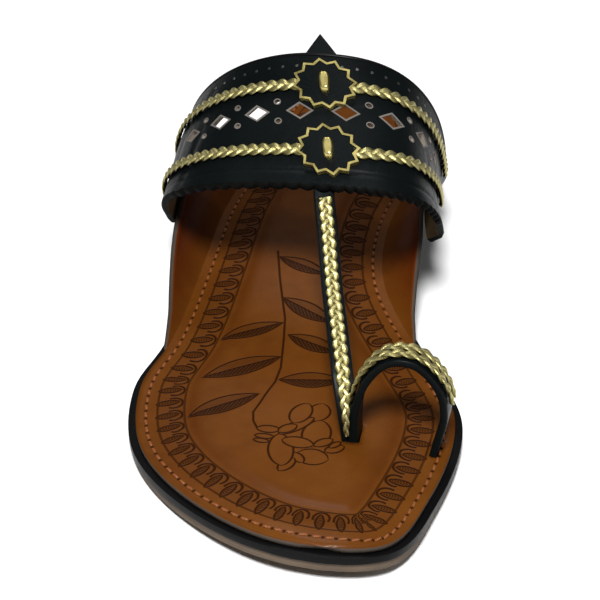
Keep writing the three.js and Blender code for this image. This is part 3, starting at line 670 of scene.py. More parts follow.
class Finish:
    """A material with a Principled shader, and short ways to add nodes to it."""

    def __init__(self, name, **fixed):
        self.material = bpy.data.materials.new(name)
        self.material.use_nodes = True
        self.tree = self.material.node_tree
        self.shader = self.tree.nodes["Principled BSDF"]
        self.set(**fixed)

    def node(self, kind, settings, *inputs, out=0, **named):
        node = self.tree.nodes.new(kind)
        for key, value in settings.items():
            setattr(node, key, value)
        pairs = [(node.inputs[index], value) for index, value in enumerate(inputs)]
        pairs += [(node.inputs[key.replace("_", " ")], value) for key, value in named.items()]
        for socket, value in pairs:
            self.feed(socket, value)
        return Wire(self, node.outputs[out])

    def feed(self, socket, value):
        if isinstance(value, Wire):
            self.tree.links.new(value.socket, socket)
        else:
            socket.default_value = value

    def set(self, **named):
        for key, value in named.items():
            if key == "Base_Color" and not isinstance(value, Wire):
                value = (*value, 1)
            self.feed(self.shader.inputs[key.replace("_", " ")], value)

    def spot(self):
        """Where a point of the object is, in metres."""
        return self.node("ShaderNodeTexCoord", {}, out="Object")

    def split(self, vector):
        parts = self.node("ShaderNodeSeparateXYZ", {}, vector)
        return [Wire(self, parts.socket.node.outputs[index]) for index in range(3)]

    def noise(self, scale, detail=3.0):
        return self.node(
            "ShaderNodeTexNoise", {}, self.spot(), Scale=scale, Detail=detail, Roughness=0.55)

    def pebbles(self, scale):
        return self.node(
            "ShaderNodeTexVoronoi", {"feature": "SMOOTH_F1"}, self.spot(), Scale=scale, out="Distance")

    def mix(self, share, low, high):
        low, high = ((*c, 1) if isinstance(c, tuple) else c for c in (low, high))
        node = self.tree.nodes.new("ShaderNodeMix")
        node.data_type = "RGBA"
        for socket, value in ((node.inputs[0], share), (node.inputs[6], low), (node.inputs[7], high)):
            self.feed(socket, value)
        return Wire(self, node.outputs[2])

    def bump(self, height, depth):
        self.set(Normal=self.node("ShaderNodeBump", {}, Strength=1.0, Distance=depth, Height=height))


# %% [markdown]
# ### Black leather
# The band and straps are black calf with a fine grain and a satin polish. Small Voronoi cells give the
# pebbles of the grain, and a slower noise makes the polish uneven, as hands and folding do. Cut edges,
# the lining and the walls of punched holes are the same kind of leather in other colours.

# %% Black leather, its lining and its cut edges
def grained_leather(name, dark, light, roughness, grain, depth, coat, gloss=0.06):
    """Leather with so many pebbles to a metre, pressed in to a depth in metres."""
    finish = Finish(name, Coat_Weight=coat, Coat_Roughness=0.28, Specular_IOR_Level=gloss)
    pebbles = finish.pebbles(grain)
    pores = finish.noise(grain * 2.2, detail=2.0)
    worn = finish.noise(34, detail=4.0)
    finish.set(
        Base_Color=finish.mix((worn * 1.6 - 0.35).clip(), dark, light),
        Roughness=(worn * 0.22 + pebbles * 0.14 + (roughness - 0.16)).clip(),
    )
    finish.bump(pebbles * 0.7 + pores * 0.3, depth)
    return finish.material


black_leather = grained_leather(
    "black_leather", (0.0012, 0.0019, 0.002), (0.0035, 0.0052, 0.0054), 0.42, 950, 0.00009, 0.03)
edge_black = grained_leather(
    "edge_black", (0.0012, 0.0015, 0.0015), (0.004, 0.0036, 0.0032), 0.66, 1400, 0.00016, 0.0, 0.03)
lining_leather = grained_leather(
    "lining_leather", (0.13, 0.085, 0.04), (0.2, 0.14, 0.07), 0.7, 1200, 0.00012, 0.0)
cut_leather = grained_leather(
    "cut_leather", (0.03, 0.022, 0.017), (0.075, 0.06, 0.05), 0.65, 1800, 0.00014, 0.0)
punched_leather = grained_leather(
    "punched_leather", (0.07, 0.062, 0.055), (0.17, 0.155, 0.14), 0.5, 1800, 0.0001, 0.0)
raw_leather = grained_leather(
    "raw_leather", (0.22, 0.19, 0.15), (0.4, 0.36, 0.3), 0.7, 1800, 0.00014, 0.0)
rim_black = grained_leather(
    "rim_black", (0.0012, 0.0012, 0.0014), (0.0035, 0.0035, 0.004), 0.4, 700, 0.00002, 0.05, 0.05)
print("leathers from", black_leather.name, "to", rim_black.name)


# %% [markdown]
# ### Gold braid and studs
# The braid is cord with a pale gold skin. Each strand stores how high it lies in an attribute, and the
# finish turns it into painted light: painted shade in dark olive in the valleys, and a painted
# highlight in pale gold on the crowns.

# %% Gold finishes
def gold_cord():
    finish = Finish("gold_cord", Metallic=0.9)
    height = finish.node("ShaderNodeAttribute", {"attribute_name": "lift"}, out="Fac")
    uneven = finish.noise(420, detail=3.0)
    # painted shade in the valleys and a painted highlight on the crowns, from each strand's height
    painted_strand_light = (height * 2.2 - 0.95 + (uneven - 0.5) * 0.6).clip()
    finish.set(
        Base_Color=finish.mix(painted_strand_light, (0.04, 0.031, 0.007), (0.5, 0.445, 0.19)),
        Roughness=(0.5 - painted_strand_light * 0.14 + uneven * 0.1).clip(),
    )
    finish.bump(finish.noise(2600, detail=2.0), 0.00012)
    return finish.material


def gold_metal(name, dark, light, roughness):
    finish = Finish(name, Metallic=1.0)
    wear = finish.noise(260, detail=4.0)
    finish.set(
        Base_Color=finish.mix((wear * 1.5 - 0.25).clip(), dark, light),
        Roughness=(wear * 0.16 + roughness).clip(),
    )
    finish.bump(finish.noise(1500, detail=2.0), 0.00004)
    return finish.material


gold_braid = gold_cord()
gold_stud = gold_metal("gold_stud", (0.45, 0.36, 0.1), (0.72, 0.62, 0.25), 0.26)
gold_edging = gold_metal("gold_edging", (0.13, 0.1, 0.03), (0.56, 0.48, 0.18), 0.42)
print("gold:", gold_braid.name, gold_stud.name, gold_edging.name)


# %% [markdown]
# ### Rubber sole and thread
# The sole is built up of taupe rubber sheets, so faint level lines run round its edge over a mottled
# skin. The thread is waxed and orange, and its twist shows as slanted stripes.

# %% Sole and thread
def sole_rubber():
    finish = Finish("sole_rubber", Specular_IOR_Level=0.3)
    height = finish.split(finish.spot())[2]
    layers = (height * 2600).sine() * 0.5 + 0.5
    mottle = finish.noise(120, detail=5.0)
    shade = (mottle * 1.3 - 0.15 + layers * 0.12).clip()
    finish.set(
        Base_Color=finish.mix(shade, (0.05, 0.034, 0.022), (0.12, 0.086, 0.058)),
        Roughness=(0.62 + mottle * 0.25).clip(),
    )
    finish.bump(mottle * 0.6 + layers * 0.25 + finish.noise(1500) * 0.3, 0.0003)
    return finish.material


def waxed_thread():
    finish = Finish("waxed_thread", Roughness=0.55)
    x, y, z = finish.split(finish.spot())
    twist = ((x + y) * 9000 + z * 5000).sine() * 0.5 + 0.5
    finish.set(Base_Color=finish.mix(twist, (0.11, 0.028, 0.004), (0.24, 0.07, 0.009)))
    finish.bump(twist, 0.0001)
    return finish.material


brown_sole = sole_rubber()
thread = waxed_thread()
print("sole and thread:", brown_sole.name, thread.name)

# %% [markdown]
# ### The tooled footbed
# The footbed is burnished tan leather with a design pressed into it: two engraved lines follow the
# edge with a row of small palmettes between them, and a sprig of leaves and an open flower lie on the
# forefoot. A second map on the mesh gives each point its distance from the edge and its run along it,
# so that the border can follow the outline, and the sprig reads plain millimetres.

# %% Sizes of the tooling
BORDER_OUTER = 6.2
BORDER_INNER = 13.9
PALMETTES = round(OUTLINE_RUN / 6.9)
PALMETTE_PITCH = OUTLINE_RUN / PALMETTES
STITCH_INSET = 2.9
STITCHES = round(OUTLINE_RUN / 3.7)
STITCH_PITCH = OUTLINE_RUN / STITCHES
HOLE_RADIUS = 0.5
LINE = 0.28
FINE_LINE = 0.32
ARCH_LINE = 0.36
ARCH_RADIUS = 2.7
STAMPED_LEAF = (-0.6, 2.3, 0.3, -4.3, 2.6)
print(f"{PALMETTES} palmettes, {STITCHES} stitches")

LEAVES = [
    # base x, y, tip x, y, full width
    (-15.2, 6.9, 0.5, 0.5, 5.6), (-10.6, -13.0, 6.0, -22.5, 6.6), (-5.8, -30.6, 10.0, -37.0, 6.6),
    (-8.6, -25.0, -26.0, -35.0, 6.0), (-6.2, -41.8, -26.8, -54.6, 7.2), (-4.6, -52.8, 13.6, -50.0, 7.0),
    (-9.3, -60.4, -27.4, -73.0, 6.6),
]
STEM = [(-16.4, 10), (-13, -4.9), (-8.3, -22.6), (-6.7, -34), (-5.2, -47), (-5.6, -54), (-7.2, -60),
        (-8.1, -64.5), (-9.2, -69), (-8.4, -73), (-6.8, -76)]
PETALS = [
    # start x, y, end x, y, full width, from the back of the flower to its front
    (6.2, -86.4, 15.2, -87.4, 7.2), (5.2, -85.8, 8.6, -90.0, 3.0), (2.9, -95.0, 5.9, -88.4, 3.6),
    (0.1, -77.9, 3.2, -92.4, 7.0), (-6.7, -79.6, -1.4, -79.6, 2.2), (-6.7, -81.6, -2.3, -81.9, 1.9),
    (-6.8, -76.3, -0.2, -76.0, 3.2), (10.4, -69.8, 9.9, -82.4, 8.0), (8.8, -70.2, 9.8, -62.0, 6.2),
    (8.2, -68.9, -0.2, -77.9, 3.8), (2.9, -72.1, 5.6, -62.6, 5.8), (-0.5, -76.9, 4.0, -73.0, 3.4),
    (1.2, -80.4, 10.1, -81.4, 4.8), (13.8, -83.8, 18.6, -80.4, 3.4), (14.6, -81.8, 17.4, -78.6, 2.0),
    (10.4, -81.7, 15.0, -77.8, 3.2),
]


# %% The sprig as a drawing
def lens(spot, row, fullness=None):
    """How deep a point lies inside a leaf-shaped outline, and how far along and across it is."""
    start, end, width = np.array(row[:2]), np.array(row[2:4]), row[4]
    middle, half = (start + end) / 2, np.linalg.norm(end - start) / 2
    way = (end - start) / (2 * half)
    side = np.array([-way[1], way[0]])
    along = spot.dot((*way, 0)) - float(middle @ way)
    across = spot.dot((*side, 0)) - float(middle @ side)
    reach = along / half
    swell = 1 - reach * reach
    if fullness:
        swell = swell.clip() ** fullness
    return swell * (width / 2) - abs(across), along, across


def stroke(distance, width=LINE):
    return (1.4 - abs(distance) / width).clip()


def sprig(spot):
    """Outlines and hatching of the leaves, the stem and the flower."""
    drawing, shade = None, None
    for row in LEAVES:
        inside, along, across = lens(spot, row)
        toe_side = 1 if row[0] > row[2] else -1
        lower = (across * (1.6 * toe_side) + 0.6).clip()
        hatch = ((along * 0.8 - abs(across) * 1.1) * 5.2).sine() * 0.5 + 0.5
        filled = (inside * 1.6).clip()
        fill = filled * (lower * (hatch * 0.6 + 0.35) + hatch * 0.12 + 0.26)
        line = stroke(inside).most(stroke(across, LINE * 0.8) * filled)
        drawing = line if drawing is None else drawing.most(line)
        shade = fill if shade is None else shade.most(fill)
    for row in PETALS:
        inside, along, _ = lens(spot, row, 0.6)
        half = math.dist(row[:2], row[2:4]) / 2
        outlined = stroke(inside) * ((half + LINE - abs(along)) * 4).clip()
        drawing = (drawing * (1 - (inside * 3).clip())).most(outlined)
    for start, end in zip(STEM, STEM[1:]):
        _, along, across = lens(spot, (*start, *end, 1))
        half = math.dist(start, end) / 2
        drawing = drawing.most(stroke(across) * ((half + 0.2 - abs(along)) * 4).clip())
    return drawing, shade


# %% The stamps of the border
def from_middle(run, pitch):
    """How far a point lies from the middle of its own stretch of a repeat."""
    return ((run / pitch).math("FRACT") - 0.5) * pitch


def palmettes(run, inset):
    """One stamp, repeated along the border: an arch, and a hatched leaf that hangs from it."""
    u = from_middle(run, PALMETTE_PITCH)
    v = inset - (BORDER_OUTER + BORDER_INNER) / 2
    below = v - 0.6
    ring = (u * u + below * below).math("SQRT")
    arch = stroke(ring - ARCH_RADIUS, ARCH_LINE) * ((v + 0.7) * 3).clip()
    spot = run.finish.node("ShaderNodeCombineXYZ", {}, u, v, 0.0)
    inside, along, across = lens(spot, STAMPED_LEAF, 0.7)
    hatch = ((along * 2 + abs(across)) * 4).sine() * 0.4 + 0.4
    leaf = stroke(inside, FINE_LINE).most((inside * 2).clip() * hatch)
    return arch, leaf * ((3.6 - abs(v + 1)) * 3).clip()


# %% Finish of the tooled footbed
def tooled_leather():
    finish = Finish("tooled_leather", Coat_Roughness=0.24, Specular_IOR_Level=0.05)
    run, inset, _ = finish.split(finish.node("ShaderNodeUVMap", {"uv_map": "border"}))
    spot = finish.node(
        "ShaderNodeVectorMath", {"operation": "MULTIPLY_ADD"}, finish.spot(), (1000, 1000, 1000),
        tuple(-SHIFT))
    drawing, shade = sprig(spot)
    pad = (inset - (BORDER_INNER + 0.5)).clip()
    lines = stroke(inset - BORDER_OUTER).most(stroke(inset - BORDER_INNER)) * 0.75
    between_lines = ((inset - BORDER_OUTER) * 2).clip() * ((BORDER_INNER - inset) * 2).clip()
    arch, leaf = palmettes(run, inset)
    stamps = (arch * between_lines).most(leaf)
    # dark dots in the stitch holes between the stitches: painted shade in the holes
    beside, off = from_middle(run, STITCH_PITCH), inset - STITCH_INSET
    hole = 1.35 - (beside * beside + off * off).math("SQRT") / HOLE_RADIUS
    tooling = lines.most(stamps).most(hole.clip()).most(drawing * pad)
    cloud = finish.noise(26, detail=3.0)
    fibre = finish.noise(170, detail=5.0)
    grain = finish.pebbles(1500)
    tan = finish.mix((cloud * 2.2 - 0.6).clip(), (0.068, 0.0185, 0.0018), (0.104, 0.032, 0.0035))
    tan = finish.mix((fibre * 1.5 - 0.45).clip() * 0.5, tan, (0.125, 0.042, 0.0055))
    mottled = (between_lines * (fibre * 0.5 - 0.05)).clip()
    tan = finish.mix(mottled, tan, (0.05, 0.0155, 0.005))
    # darker in a band up to 7 mm inside the inner engraved line
    inner_band_darkening = ((inset - BORDER_INNER) * 0.5).clip() * ((BORDER_INNER + 7 - inset) * 0.2).clip()
    tan = finish.mix(inner_band_darkening * 0.4, tan, (0.05, 0.011, 0.002))
    wing = ((0.5 - inset) / 12).clip()
    tan = finish.mix(wing, tan, (0.068, 0.0115, 0.0012))
    tan = finish.mix((shade * pad * 0.88).clip(), tan, (0.014, 0.0042, 0.0012))
    tan = finish.mix((tooling * 0.92).clip(), tan, (0.014, 0.0028, 0.0005))
    finish.set(
        Base_Color=tan,
        Roughness=(0.36 + cloud * 0.14 + tooling * 0.2 + grain * 0.05).clip(),
        Coat_Weight=(0.09 - tooling * 0.08).clip(),
    )
    relief = 1 - tooling.most(shade * pad * 0.5) + between_lines * (fibre - 0.5) * 0.3 + grain * 0.12
    finish.bump(relief, 0.00035)
    return finish.material


tooled_tan = tooled_leather()
print("footbed finish has", len(tooled_tan.node_tree.nodes), "nodes")


# %% [markdown]
# ## Sole and rim
# A sole is a slab with a true outline. A grid is laid over the outline, with its rows close together
# at the round ends, then it is extruded to its thickness and its rims are rounded.

# %% Slabs of the sole
CROWDING = 0.7
SLAB_ACROSS = 14
SLAB_ALONG = 190
CORNER_ANGLE = 1.2


def stations(distance, count, shy=0.02):
    """The y of each row of a grid over the outline, crowded towards both ends."""
    line = moved_outline(distance)
    low, high = line[:, 1].min(), line[:, 1].max()
    steps = np.linspace(0, 1, count)
    spread = -CROWDING * np.cos(np.pi * steps) + (1 - CROWDING) * (2 * steps - 1)
    return (low + high) / 2 + ((high - low) / 2 - shy) * spread


def sole_slab(distance, low, high, rounding):
    """A slab over the outline, moved out by a distance, between two heights."""
    bm = bmesh.new()
    bmesh.ops.create_grid(bm, x_segments=SLAB_ACROSS, y_segments=SLAB_ALONG, size=1)
    plan = places_of(bm.verts)
    row = np.rint((plan[:, 1] + 1) / 2 * SLAB_ALONG).astype(int)
    y = stations(distance, SLAB_ALONG + 1)[row]
    lateral, medial = edges(distance, y)
    x = lateral + (medial - lateral) * (plan[:, 0] + 1) / 2
    set_places(bm.verts, np.stack([x, y, low(y)], axis=1))
    for vertex in extrude_up(bm, bm.faces[:], 0):
        vertex.co.z = float(high(np.array(vertex.co.y)))
    bmesh.ops.recalc_face_normals(bm, faces=bm.faces)
    rims = [edge for edge in bm.edges
            if len(edge.link_faces) == 2 and edge.calc_face_angle() > CORNER_ANGLE]
    bmesh.ops.bevel(
        bm, geom=rims, offset=rounding, segments=5, profile=0.5, affect="EDGES", material=-1,
        clamp_overlap=True)
    return bm


SOLE_ROUNDING = 0.7
RIM_ROUNDING = 1.05
bm = sole_slab(OUTSOLE_PROUD, ground, outsole_top, SOLE_ROUNDING)
place(bm)
make_piece("sole", bm, [brown_sole], ["outsole"], recalc=True)
bm = sole_slab(RIM_PROUD, rim_bottom, rim_top, RIM_ROUNDING)
place(bm)
make_piece("rim", bm, [rim_black], ["midsole_rim"], recalc=True)


# %% [markdown]
# ## Footbed
# The footbed is one sheet: a crowned pad whose sides rise as wings. A single grid covers both. Its
# middle columns lie on the pad, its outer columns climb the wings, and where a wing has no height
# they fall together and are merged. The slots for the toe strap and the toe loop are opened in the
# grid itself, and inside the border the pad swells a little, as padded leather does. Solidify then
# gives the sheet a wall, black outside, with a cut edge.

# %% Lay out the footbed
PAD_COLUMNS = 60
WING_COLUMNS = 7
FOOTBED_ROWS = 230


def footbed_sheet():
    """A grid with its places on the pad and wings, and how far each has climbed a wing."""
    bm = bmesh.new()
    columns = PAD_COLUMNS + 2 * WING_COLUMNS
    bmesh.ops.create_grid(bm, x_segments=columns, y_segments=FOOTBED_ROWS, size=1)
    rows = stations(0, FOOTBED_ROWS + 1, 0)
    plan = places_of(bm.verts)
    column = np.rint((plan[:, 0] + 1) / 2 * columns).astype(int)
    y = rows[np.rint((plan[:, 1] + 1) / 2 * FOOTBED_ROWS).astype(int)]
    lateral, medial = edges(0, y)
    share = np.clip((column - WING_COLUMNS) / PAD_COLUMNS, 0, 1)
    x = lateral + (medial - lateral) * share
    z = pad_height(x, y)
    climb = np.zeros(len(x))
    for side, edge, step in (
        ("lateral", lateral, WING_COLUMNS - column),
        ("medial", medial, column - WING_COLUMNS - PAD_COLUMNS),
    ):
        on_wing = step > 0
        rise = wing_top(side, y) * np.clip(step, 0, None) / WING_COLUMNS
        wing_x, wing_z = wing_face(side, y, rise, 0)
        flat = rise < 1e-6
        x = np.where(on_wing, np.where(flat, edge, wing_x), x)
        z = np.where(on_wing, np.where(flat, insole_edge(y), wing_z), z)
        climb = np.where(on_wing, rise, climb)
    return bm, np.stack([x, y, z], axis=1), climb


BATCH = 2000
WING_STRETCH = 1.1


def border_map(spots, climb):
    """Run along the outline and distance from it, for each point of the footbed."""
    run, inset = np.zeros(len(spots)), np.zeros(len(spots))
    way = np.roll(outline, -1, axis=0) - outline
    for first in range(0, len(spots), BATCH):
        batch = slice(first, first + BATCH)
        part = spots[batch, None, :2] - outline[None]
        t = np.clip((part * way).sum(2) / (way * way).sum(1), 0, 1)
        gap = np.linalg.norm(part - way * t[:, :, None], axis=2)
        near = gap.argmin(axis=1)
        rows = np.arange(len(near))
        inset[batch] = gap[rows, near]
        run[batch] = (near + t[rows, near]) / OUTLINE_STEPS * OUTLINE_RUN
    return run, np.where(climb > 0, -climb * WING_STRETCH, inset)


# %% Slots for the toe strap and the toe loop
STRAP_TAPER = 22
STRAP_FOOT = 0.66
SLOTS = [
    # middle x, y, width and depth, tight round each strap
    (POST[0] + STRAP_WIDTH * (1 - STRAP_FOOT) / 2, POST[1], STRAP_WIDTH * STRAP_FOOT, STRAP_WALL),
    (LOOP_ROOT[0], LOOP_ROOT[1], LOOP_WALL, LOOP_WIDTH),
    (LOOP_FOOT[0] + 0.4, LOOP_FOOT[1], LOOP_WALL, LOOP_WIDTH),
]


def slot_gap(x, y):
    """How far a point lies outside the nearest slot, negative inside."""
    gaps = []
    for middle_x, middle_y, wide, deep in SLOTS:
        over_x, over_y = np.abs(x - middle_x) - wide / 2, np.abs(y - middle_y) - deep / 2
        outside = np.hypot(np.maximum(over_x, 0), np.maximum(over_y, 0))
        gaps.append(outside + np.minimum(np.maximum(over_x, over_y), 0))
    return np.min(gaps, axis=0)


def punch_slots(bm, spots):
    """Opens the faces inside the slots and draws the rim of each hole onto the slot's outline."""
    bm.verts.index_update()
    inside = {face for face in bm.faces if slot_gap(*face.calc_center_median().xy) < 0}
    ring = {vertex for face in inside for vertex in face.verts
            if any(other not in inside for other in vertex.link_faces)}
    bmesh.ops.delete(bm, geom=list(inside), context="FACES_ONLY")
    reach = 0.01
    tries = 8
    for vertex in ring:
        x, y = spots[vertex.index, :2]
        for _ in range(tries):
            gap = slot_gap(x, y)
            slope = np.array([slot_gap(x + reach, y) - gap, slot_gap(x, y + reach) - gap]) / reach
            x, y = np.array([x, y]) - gap * slope
        spots[vertex.index] = (x, y, pad_height(x, y))
    return spots


# %% Make the footbed
PILLOW = 0.7
PILLOW_EDGE = 4.5
FOOTBED_WALL = 1.45
bm, spots, climb = footbed_sheet()
set_places(bm.verts, spots)
spots = punch_slots(bm, spots)
run, inset = border_map(spots, climb)
swell = np.clip((inset - BORDER_INNER) / PILLOW_EDGE, 0, 1)
spots[:, 2] += PILLOW * swell * swell * (3 - 2 * swell)
set_places(bm.verts, spots)
bm.verts.index_update()
layer = bm.loops.layers.uv.new("border")
for face in bm.faces:
    runs = [run[loop.vert.index] for loop in face.loops]
    wraps = max(runs) - min(runs) > OUTLINE_RUN / 2
    for loop, value in zip(face.loops, runs):
        value += OUTLINE_RUN if wraps and value < OUTLINE_RUN / 2 else 0
        loop[layer].uv = (value, inset[loop.vert.index])
bmesh.ops.delete(bm, geom=[vertex for vertex in bm.verts if not vertex.link_faces], context="VERTS")
bmesh.ops.remove_doubles(bm, verts=bm.verts, dist=0.01)
place(bm)
footbed = make_piece("footbed", bm, [tooled_tan, edge_black, cut_leather], ["insole"])
wall = footbed.modifiers.new("wall", "SOLIDIFY")
wall.thickness = FOOTBED_WALL * MM
wall.offset = -1
wall.use_even_offset = True
wall.material_offset = 1
wall.material_offset_rim = 2


# %% [markdown]
# ## Stitches
# A row of orange thread holds the footbed to the sole. Each stitch is a small slanted capsule that
# dips into its holes, so the row reads as thread and not as dots.

# %% Sew the footbed
STITCH_LENGTH = 2.5
STITCH_WIDTH = 0.9
STITCH_HEIGHT = 0.68
STITCH_LIFT = 0.05
STITCH_SLANT = 0.12


def stitches():
    bm = bmesh.new()
    line = moved_outline(-STITCH_INSET)
    way = np.roll(line, -1, axis=0) - np.roll(line, 1, axis=0)
    for number in range(STITCHES):
        share = number / STITCHES * OUTLINE_STEPS
        index = int(share) % OUTLINE_STEPS
        spot = line[index] + (line[(index + 1) % OUTLINE_STEPS] - line[index]) * (share % 1)
        angle = math.atan2(way[index, 1], way[index, 0]) + STITCH_SLANT
        z = float(pad_height(*spot)) + STITCH_LIFT
        size = Matrix.Diagonal((STITCH_LENGTH / 2, STITCH_WIDTH / 2, STITCH_HEIGHT / 2, 1))
        turn = Matrix.Translation((*spot, z)) @ Matrix.Rotation(angle, 4, "Z") @ size
        bmesh.ops.create_uvsphere(bm, u_segments=8, v_segments=6, radius=1, matrix=turn)
    return bm


bm = stitches()
place(bm)
make_piece("footbed_stitches", bm, [thread])

# %% [markdown]
# ## Band
# The band is cut flat, as a shoemaker cuts it. The flat pattern is a grid with the width of the arch
# and its tails, extruded to the leather's wall. Diamonds and pairs of round holes are punched out of
# it with one Boolean, and then every vertex is laid on the arch. The outer edge is rounded after the
# cut, because the Boolean has failed on an edge that was rounded before. The front edge is pinked,
# with a shallow groove behind it that the folded edge leaves.

# %% Punches
OUTSIDE, LINING, HOLE_WALL, EDGE = range(4)
HOLE_FLARE = 0.7
PUNCH_REACH = 2
CUT_SLACK = 0.01


def punches(outlines):
    """Upright prisms over flat outlines that widen towards the lining."""
    bm = bmesh.new()
    low, high = -PUNCH_REACH, BAND_WALL + PUNCH_REACH
    for points in outlines:
        middle = points.mean(axis=0)
        under, over = (middle + (points - middle) * (1 + HOLE_FLARE * (BAND_WALL - level) / BAND_WALL)
                       for level in (low, high))
        corners = [bm.verts.new((*point, low)) for point in under]
        for vertex in extrude_up(bm, [bm.faces.new(corners)], 0):
            near = np.linalg.norm(under - np.array(vertex.co.xy), axis=1).argmin()
            vertex.co = (*over[near], high)
    bmesh.ops.recalc_face_normals(bm, faces=bm.faces)
    for face in bm.faces:
        face.material_index = HOLE_WALL
    return bm


def cut(piece, bm):
    """Cuts a bmesh out of a piece, by a second solver if the first leaves a punch standing."""
    cutter = add_object("cutter", bm, piece.data.materials)
    boolean = piece.modifiers.new("cut", "BOOLEAN")
    boolean.operation, boolean.object = "DIFFERENCE", cutter
    for solver in ("EXACT", "MANIFOLD"):
        boolean.solver = solver
        graph = bpy.context.evaluated_depsgraph_get()
        mesh = bpy.data.meshes.new_from_object(piece.evaluated_get(graph), depsgraph=graph)
        heights = [vertex.co.z for vertex in mesh.vertices]
        print(f"{solver} cut: leather between {min(heights):.2f} and {max(heights):.2f} mm")
        if -CUT_SLACK < min(heights) and max(heights) < BAND_WALL + CUT_SLACK:
            break
    piece.modifiers.clear()
    piece.data = mesh
    bpy.data.objects.remove(cutter)


# %% Sizes of the flat pattern
FLAT_HALF = 80
FLAT_TAIL = 11
FLAT_DEPTH = 45
BAND_COLUMNS = 230
BAND_ROWS = 62
PINK_PITCH = 4.7
PINK_DEPTH = 0.9
PINK_REACH = 66
PINK_ENDS = 6
PINK_FADE = 2.5
FOLD_AT = 4.9
FOLD_DEPTH = 0.4
FOLD_WIDTH = 0.55
FOLD_PUFF = 0.12
ROUND_HOLE = 0.8
ROUND_HOLE_SIDES = 16
ROUND_HOLE_SPREAD = 3.6
EDGE_ROUNDING = 0.9
BRINK = 0.001
RIM_WIDTH = 0.55
ROUND_RIM_WIDTH = 0.35
RIM_HEIGHT = 0.25
CREASES = [
    # where the leather folds as it is worn: x, y, half length, turn in degrees, depth, half width
    (-52, 14, 13, 62, 0.28, 1.6), (-58, 27, 12, 70, 0.24, 1.8), (-44, 36, 8, 48, 0.16, 1.4),
    (49, 13, 11, -60, 0.26, 1.6), (57, 26, 12, -68, 0.24, 1.8), (14, 30, 9, 12, 0.14, 1.5),
    (-16, 12, 10, -8, 0.14, 1.5),
]
print(f"flat pattern {2 * (FLAT_HALF + FLAT_TAIL)} by {FLAT_DEPTH} mm")


def from_flat(x, y):
    """Shares of the arch from millimetres of the flat pattern."""
    tail = np.clip(np.abs(x) - FLAT_HALF, 0, None) / FLAT_TAIL
    return np.sign(x) * (np.clip(np.abs(x), 0, FLAT_HALF) / FLAT_HALF + tail), y / FLAT_DEPTH


def to_flat(across, along):
    return across * FLAT_HALF, along * FLAT_DEPTH


def creases(x, y):
    """Depth of the soft troughs, each with a low ridge on both sides."""
    depth = np.zeros(len(x))
    for middle_x, middle_y, half, turn, deep, wide in CREASES:
        turn = math.radians(turn)
        along = (x - middle_x) * math.cos(turn) + (y - middle_y) * math.sin(turn)
        across = (y - middle_y) * math.cos(turn) - (x - middle_x) * math.sin(turn)
        fade = np.exp(-((along / half) ** 4))
        share = (across / wide) ** 2
        depth += deep * fade * (1 - 0.6 * share) * np.exp(-share / 1.6)
    return depth


def bend_band(flat):
    """Lays the flat pattern on the arch, with its pinked edge, its fold and its creases."""
    x, y, height = flat[:, 0], flat[:, 1], flat[:, 2].copy()
    outer = height > BAND_WALL / 2
    fold = FOLD_DEPTH * np.exp(-((y - FOLD_AT) / FOLD_WIDTH) ** 2)
    puff = FOLD_PUFF * np.sin(np.pi * np.clip(y / FOLD_AT, 0, 1))
    height += np.where(outer, puff - fold, 0) - creases(x, y)
    fade = np.clip(1 - y / PINK_FADE, 0, 1) * np.clip((PINK_REACH - np.abs(x)) / PINK_ENDS, 0, 1)
    pink = PINK_DEPTH * np.abs(np.sin(np.pi * x / PINK_PITCH)) * fade
    across, along = from_flat(x, y - pink)
    return on_band(across, along, height)


# %% Outlines of the holes
def flat_outline(across_mm, points):
    """A hole's outline on the flat pattern, from millimetres round a place on the row of holes."""
    row = float(row_at(ROWS["diamonds"], across_share(across_mm, ROWS["diamonds"]["crown"])))
    across, along = near_row(row, across_mm + points[:, 0], points[:, 1])
    return np.stack(to_flat(across, along), axis=1)


def diamond(across_mm, inset=0.0):
    half_long, half_wide = DIAMOND_LENGTH / 2, DIAMOND_WIDTH / 2
    corners = np.array([(half_long, 0), (0, half_wide), (-half_long, 0), (0, -half_wide)])
    reach = half_long * half_wide / math.hypot(half_long, half_wide)
    return flat_outline(across_mm, corners * (1 - inset / reach))


def round_pair(across_mm, radius):
    """Two round holes, one on each side of the row of diamonds."""
    turn = np.linspace(0, 2 * np.pi, ROUND_HOLE_SIDES, endpoint=False)
    circle = np.stack([np.cos(turn), np.sin(turn)], axis=1) * radius
    return [flat_outline(across_mm, circle + (0, side * ROUND_HOLE_SPREAD)) for side in (-1, 1)]


diamond_places = [DIAMONDS_ACROSS + (number + 0.5 - DIAMONDS_EACH_SIDE) * DIAMOND_PITCH
                  for number in range(2 * DIAMONDS_EACH_SIDE)]
pair_places = [spot + DIAMOND_PITCH / 2 for spot in diamond_places[:-1]]
pair_places = [spot for spot in pair_places if abs(spot) > ROSETTE_RADIUS / 2]
print(len(diamond_places), "diamonds and", len(pair_places), "pairs of round holes")


# %% Cut and punch the band
def on_brink(spot):
    """Whether a place on the flat pattern is on its outer brink, on the outside of the leather."""
    short = min(spot.y, FLAT_DEPTH - spot.y, FLAT_HALF + FLAT_TAIL - abs(spot.x))
    return short < BRINK and spot.z > BAND_WALL - BRINK


